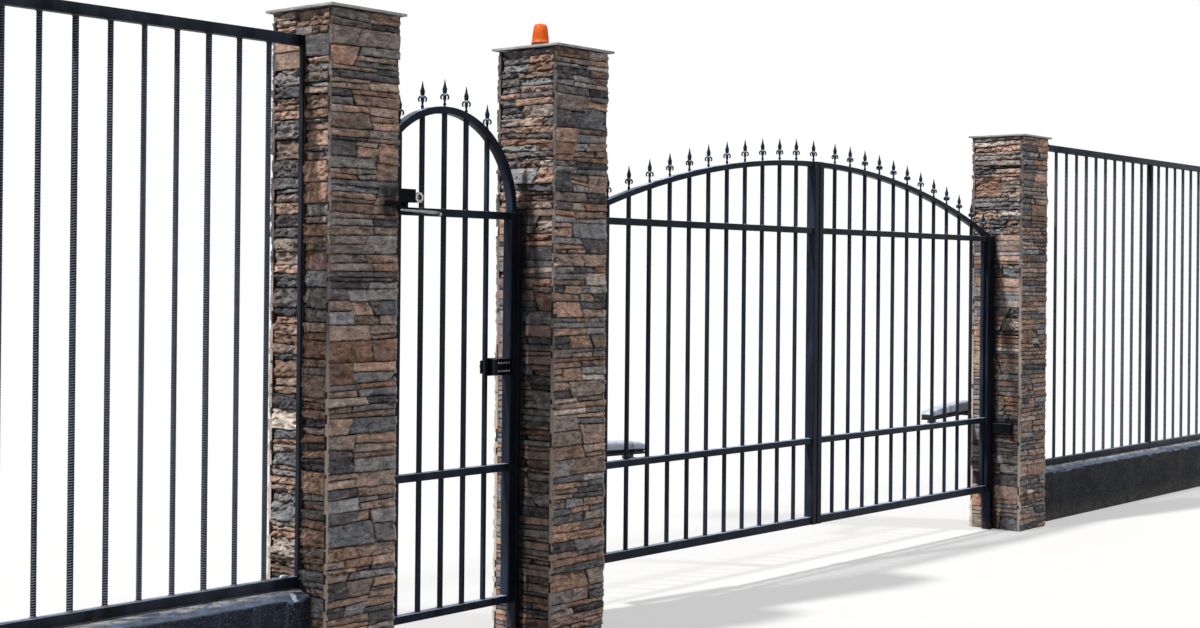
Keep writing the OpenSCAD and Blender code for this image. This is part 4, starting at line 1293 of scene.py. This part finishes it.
def closer_arms():
    """Dark flat arm above, bright tapered arm below, the ball of the elbow under both."""
    length, place = lined_up(SHOE, ELBOW)
    rings = [soft_ring(along, half, low, high, 14, 0.7) for along, half, low, high in (
        (-0.0115, 0.0020, 1.9860, 1.9885), (-0.0095, 0.0055, 1.9850, 1.9905),
        (-0.0030, 0.0078, 1.9845, 1.9920), (0.0300, 0.0066, 1.9842, 1.9925),
        (0.1500, 0.0082, 1.9825, 1.9935), (0.2400, 0.0106, 1.9808, 1.9940),
        (length - 0.046, 0.0114, 1.9800, 1.9942), (length - 0.026, 0.0092, 1.9812, 1.9938),
        (length - 0.014, 0.0052, 1.9838, 1.9925), (length + 0.004, 0.0044, 1.9845, 1.9920),
        (length + 0.008, 0.0018, 1.9868, 1.9900),
    )]
    fore = bmesh.new()
    put(fore, swept(rings), place)
    ball = bmesh.new()
    bmesh.ops.create_uvsphere(ball, u_segments=20, v_segments=12, radius=0.0082)
    put(fore, as_mesh(ball), at(ELBOW.x, ELBOW.y, 1.9800))
    new_piece("closer_bright_arm", fore, "closer_link_arm", [POLISHED],
              ("closer_forearm",), 50)
    length, place = lined_up(SPINDLE, ELBOW)
    arm = bmesh.new()
    add_box(arm, (0.0, -0.011, 1.9961), (length, 0.011, 2.0039))
    round_edges(arm, arm.edges[:], 0.0012)
    for end in (0.0, length):
        add_cone(arm, 28, 0.0112, 0.0112, 0.0079, (end, 0, 2.0))
    add_cone(arm, 24, 0.0058, 0.0056, 0.026, (0, 0, 2.0085))
    add_cone(arm, 6, 0.0078, 0.0074, 0.004, (0, 0, 1.9945))
    bmesh.ops.transform(arm, matrix=place, verts=arm.verts)
    new_piece("closer_dark_arm", arm, "closer_main_arm", [CLOSER_PAINT],
              ("closer_arm",), 40)


closer_arms()


# Welds, buttons and bolts

TO_ROAD = turn(90, "X")
TO_YARD = turn(-90, "X")
PLUG_FACE = (-0.902, -0.018, 2.0535)


def weld_drop(seed):
    """One lump of weld or spatter, flattened on whatever it sits on."""
    size = Vector((0.0048, 0.0028, 0.0024))
    bm = bmesh.new()
    bmesh.ops.create_uvsphere(bm, u_segments=7, v_segments=5, radius=1.0)
    for vert in bm.verts:
        swell = 1.0 + 0.25 * noise.noise(vert.co * 1.7 + Vector((seed, seed * 3.0, 0)))
        vert.co = size * vert.co * swell
    return as_mesh(bm)


def frame_welds(name, body, bars, rail_tops, rng):
    """Weld spots where the square bars pass the rails, on the front and the back."""
    drops = [weld_drop(number * 1.37) for number in range(5)]
    bm = bmesh.new()
    for x in bars:
        for z in rail_tops:
            for y in (0.0352, 0.0548):
                for side in (-1, 1):
                    if rng.random() < 0.24:
                        continue
                    place = at(x + side * (0.0085 + rng.uniform(-0.001, 0.002)), y, z + 0.0004)
                    put(bm, rng.choice(drops), place @ Matrix.Rotation(rng.uniform(0, 3), 4, "Z"))
    new_piece(name, bm, body, [WELD], (), 60)


weld_rng = random.Random(19)
for side, sign in (("left", -1.0), ("right", 1.0)):
    frame_welds(side + "_leaf_welds", side + "_leaf", [DRIVE_MID + sign * u for u in LEAF_OFFSETS],
                (0.305, 0.770, 2.010), weld_rng)
frame_welds("wicket_welds", "wicket_leaf", [WICKET_MID + u for u in WICKET_OFFSETS],
            (0.195, 0.820, 2.010), weld_rng)


def rounded_button(radius, depth):
    """Domed push button standing on z = 0, its foot sunk a little."""
    return as_mesh(turned((
        (0.0, -0.001), (radius, -0.001), (radius, depth * 0.55), (radius * 0.86, depth * 0.86),
        (radius * 0.55, depth * 0.98), (0.0, depth),
    ), 20))


def scatter(name, body, material, part, places, way, angle):
    """A piece made of one small part put at many places, all turned the same way."""
    bm = bmesh.new()
    for place in places:
        put(bm, part, Matrix.Translation(place) @ way)
    new_piece(name, bm, body, [material], (), angle)


# Two rows of bright buttons, the lock plate's screws and the rusty cup inside the closer plug's rim

scatter("lock_buttons", "wicket_leaf", BUTTON, rounded_button(0.0053, 0.0046),
        [(-0.332 + 0.017 * number, -0.0018, 1.281 + row)
         for row in (-0.019, 0.019) for number in range(-2, 3)],
        TO_ROAD, 40)
scatter("lock_screws", "wicket_leaf", ZINC, rounded_button(0.0042, 0.0022),
        [(x, 0.0420, z) for x in (-0.384, -0.280) for z in (1.2450, 1.3170)], TO_ROAD, 40)
scatter("plug_rusty_bore", "wicket_leaf", RUSTY, as_mesh(turned((
    (0.0, -0.0112), (0.0124, -0.0112), (0.0124, -0.0012), (0.0114, -0.0012), (0.0110, -0.0090),
    (0.0070, -0.0098), (0.0062, -0.0050), (0.0030, -0.0044), (0.0, -0.0042),
), 28)), [PLUG_FACE], TO_ROAD, 40)

# Hexagon bolts through the opener brackets' plates

scatter("bracket_bolts", "gateway", ZINC, bolt(0.0062, 0.0065),
        [(DRIVE_MID + sign * x, 0.196, z) for sign in (-1.0, 1.0) for x in (2.2290, 2.2710)
         for z in (0.722, 0.810)],
        TO_YARD, 35)


def shoe_screws():
    """Two screws through the closer's shoe into the pillar, and one that stands on its arm's pivot."""
    screw = bolt(0.0034, 0.0040)
    bm = bmesh.new()
    for x in (-1.2580, -1.2280):
        put(bm, screw, at(x, -0.196, 2.0115) @ TO_ROAD)
    put(bm, screw, at(SHOE.x, SHOE.y, 2.004))
    new_piece("shoe_screws", bm, "gateway", [CLOSER_PAINT], (), 35)


shoe_screws()


# CAD nodes that keep their own shape, softened at their edges


def soften(material, width, segments, *nodes):
    for node in nodes:
        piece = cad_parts[node]
        piece.data.materials.clear()
        piece.data.materials.append(material)
        piece.modifiers.new("weld", "WELD").merge_threshold = 0.00002
        bevel = piece.modifiers.new("edges", "BEVEL")
        bevel.width = width
        bevel.segments = segments
        bevel.limit_method = "ANGLE"
        bevel.angle_limit = math.radians(40)
        bevel.harden_normals = False
        bevel.use_clamp_overlap = True


for leaf in ("left_", "right_"):
    soften(GATE_PAINT, 0.002, 2, leaf + "hinge_post", leaf + "leaf_stiles", leaf + "leaf_rails",
           leaf + "leaf_arch")
    soften(GATE_PAINT, 0.0014, 2, leaf + "leaf_bar_set")
    soften(BRACKET_PAINT, 0.001, 1, leaf + "leaf_bracket", leaf + "rear_bracket")
    soften(OPENER_BASE, 0.0015, 2, leaf + "opener_base")
    soften(ZINC, 0.001, 2, leaf + "opener_carriage")
soften(GATE_PAINT, 0.002, 2, "wicket_hinge_post", "wicket_latch_post", "wicket_stiles", "wicket_rails",
       "wicket_arch")
soften(GATE_PAINT, 0.0014, 2, "wicket_bar_set")
soften(LOCK_PAINT, 0.001, 2, "lock_plate")
soften(LOCK_PAINT, 0.002, 2, "lock_body")
soften(CLOSER_PAINT, 0.001, 2, "closer_plate", "closer_shoe")
soften(CLOSER_PAINT, 0.004, 3, "closer_body")
soften(ALUMINIUM, 0.0008, 2, "closer_plug")
soften(BRACKET_PAINT, 0.002, 2, "side_box")


# Floor, light and background

FLOOR_GLOW = 0.34
SKY_LIGHT = 0.32


def stage():
    """Pale floor that shows its shadows, and a white background that the eye and metal see."""
    bm = bmesh.new()
    bmesh.ops.create_grid(bm, x_segments=1, y_segments=1, size=60.0)
    mesh = bpy.data.meshes.new("studio_floor")
    bm.to_mesh(mesh)
    bm.free()
    floor = bpy.data.objects.new("studio_floor", mesh)
    floor.location = (0.0, 0.0, -0.0005)
    scene.collection.objects.link(floor)
    material, tree, shader = new_material("studio_floor", 0.1)
    grain = tree.noise(tree.here(), 3.0, 3.0, 0.5)
    tone = tree.mix(grain, (0.255, 0.255, 0.253, 1.0), (0.270, 0.270, 0.268, 1.0))
    seen = tree.seen()
    tone = tree.mix(seen, (0.34, 0.33, 0.32, 1.0), tone)
    shader.inputs["Emission Color"].default_value = (1.0, 1.0, 1.0, 1.0)
    tree.set(shader, "Emission Strength", tree.times(seen, FLOOR_GLOW))
    finish(tree, shader, tone, 0.9)
    mesh.materials.append(material)
    world = bpy.data.worlds.new("studio")
    scene.world = world
    world.use_nodes = True
    sky = Tree(world.node_tree)
    backdrop = world.node_tree.nodes["Background"]
    backdrop.inputs["Color"].default_value = (1.0, 1.0, 1.0, 1.0)
    sky.set(backdrop, "Strength", sky.remap(sky.seen(), 0.0, 1.0, SKY_LIGHT, 1.0))


def sun(name, toward, strength, spread, colour):
    data = bpy.data.lights.new(name, "SUN")
    data.energy = strength
    data.angle = math.radians(spread)
    data.color = colour
    light = bpy.data.objects.new(name, data)
    scene.collection.objects.link(light)
    light.rotation_euler = Vector(toward).to_track_quat("-Z", "Y").to_euler()


stage()
sun("key", (0.64, -0.13, -0.76), 6.4, 3.0, (1.0, 0.985, 0.972))
sun("fill", (-0.28, 0.52, -0.81), 2.5, 7.0, (0.98, 0.985, 1.0))


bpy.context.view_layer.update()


def corners(box):
    return [[float(value) for value in corner] for corner in box]
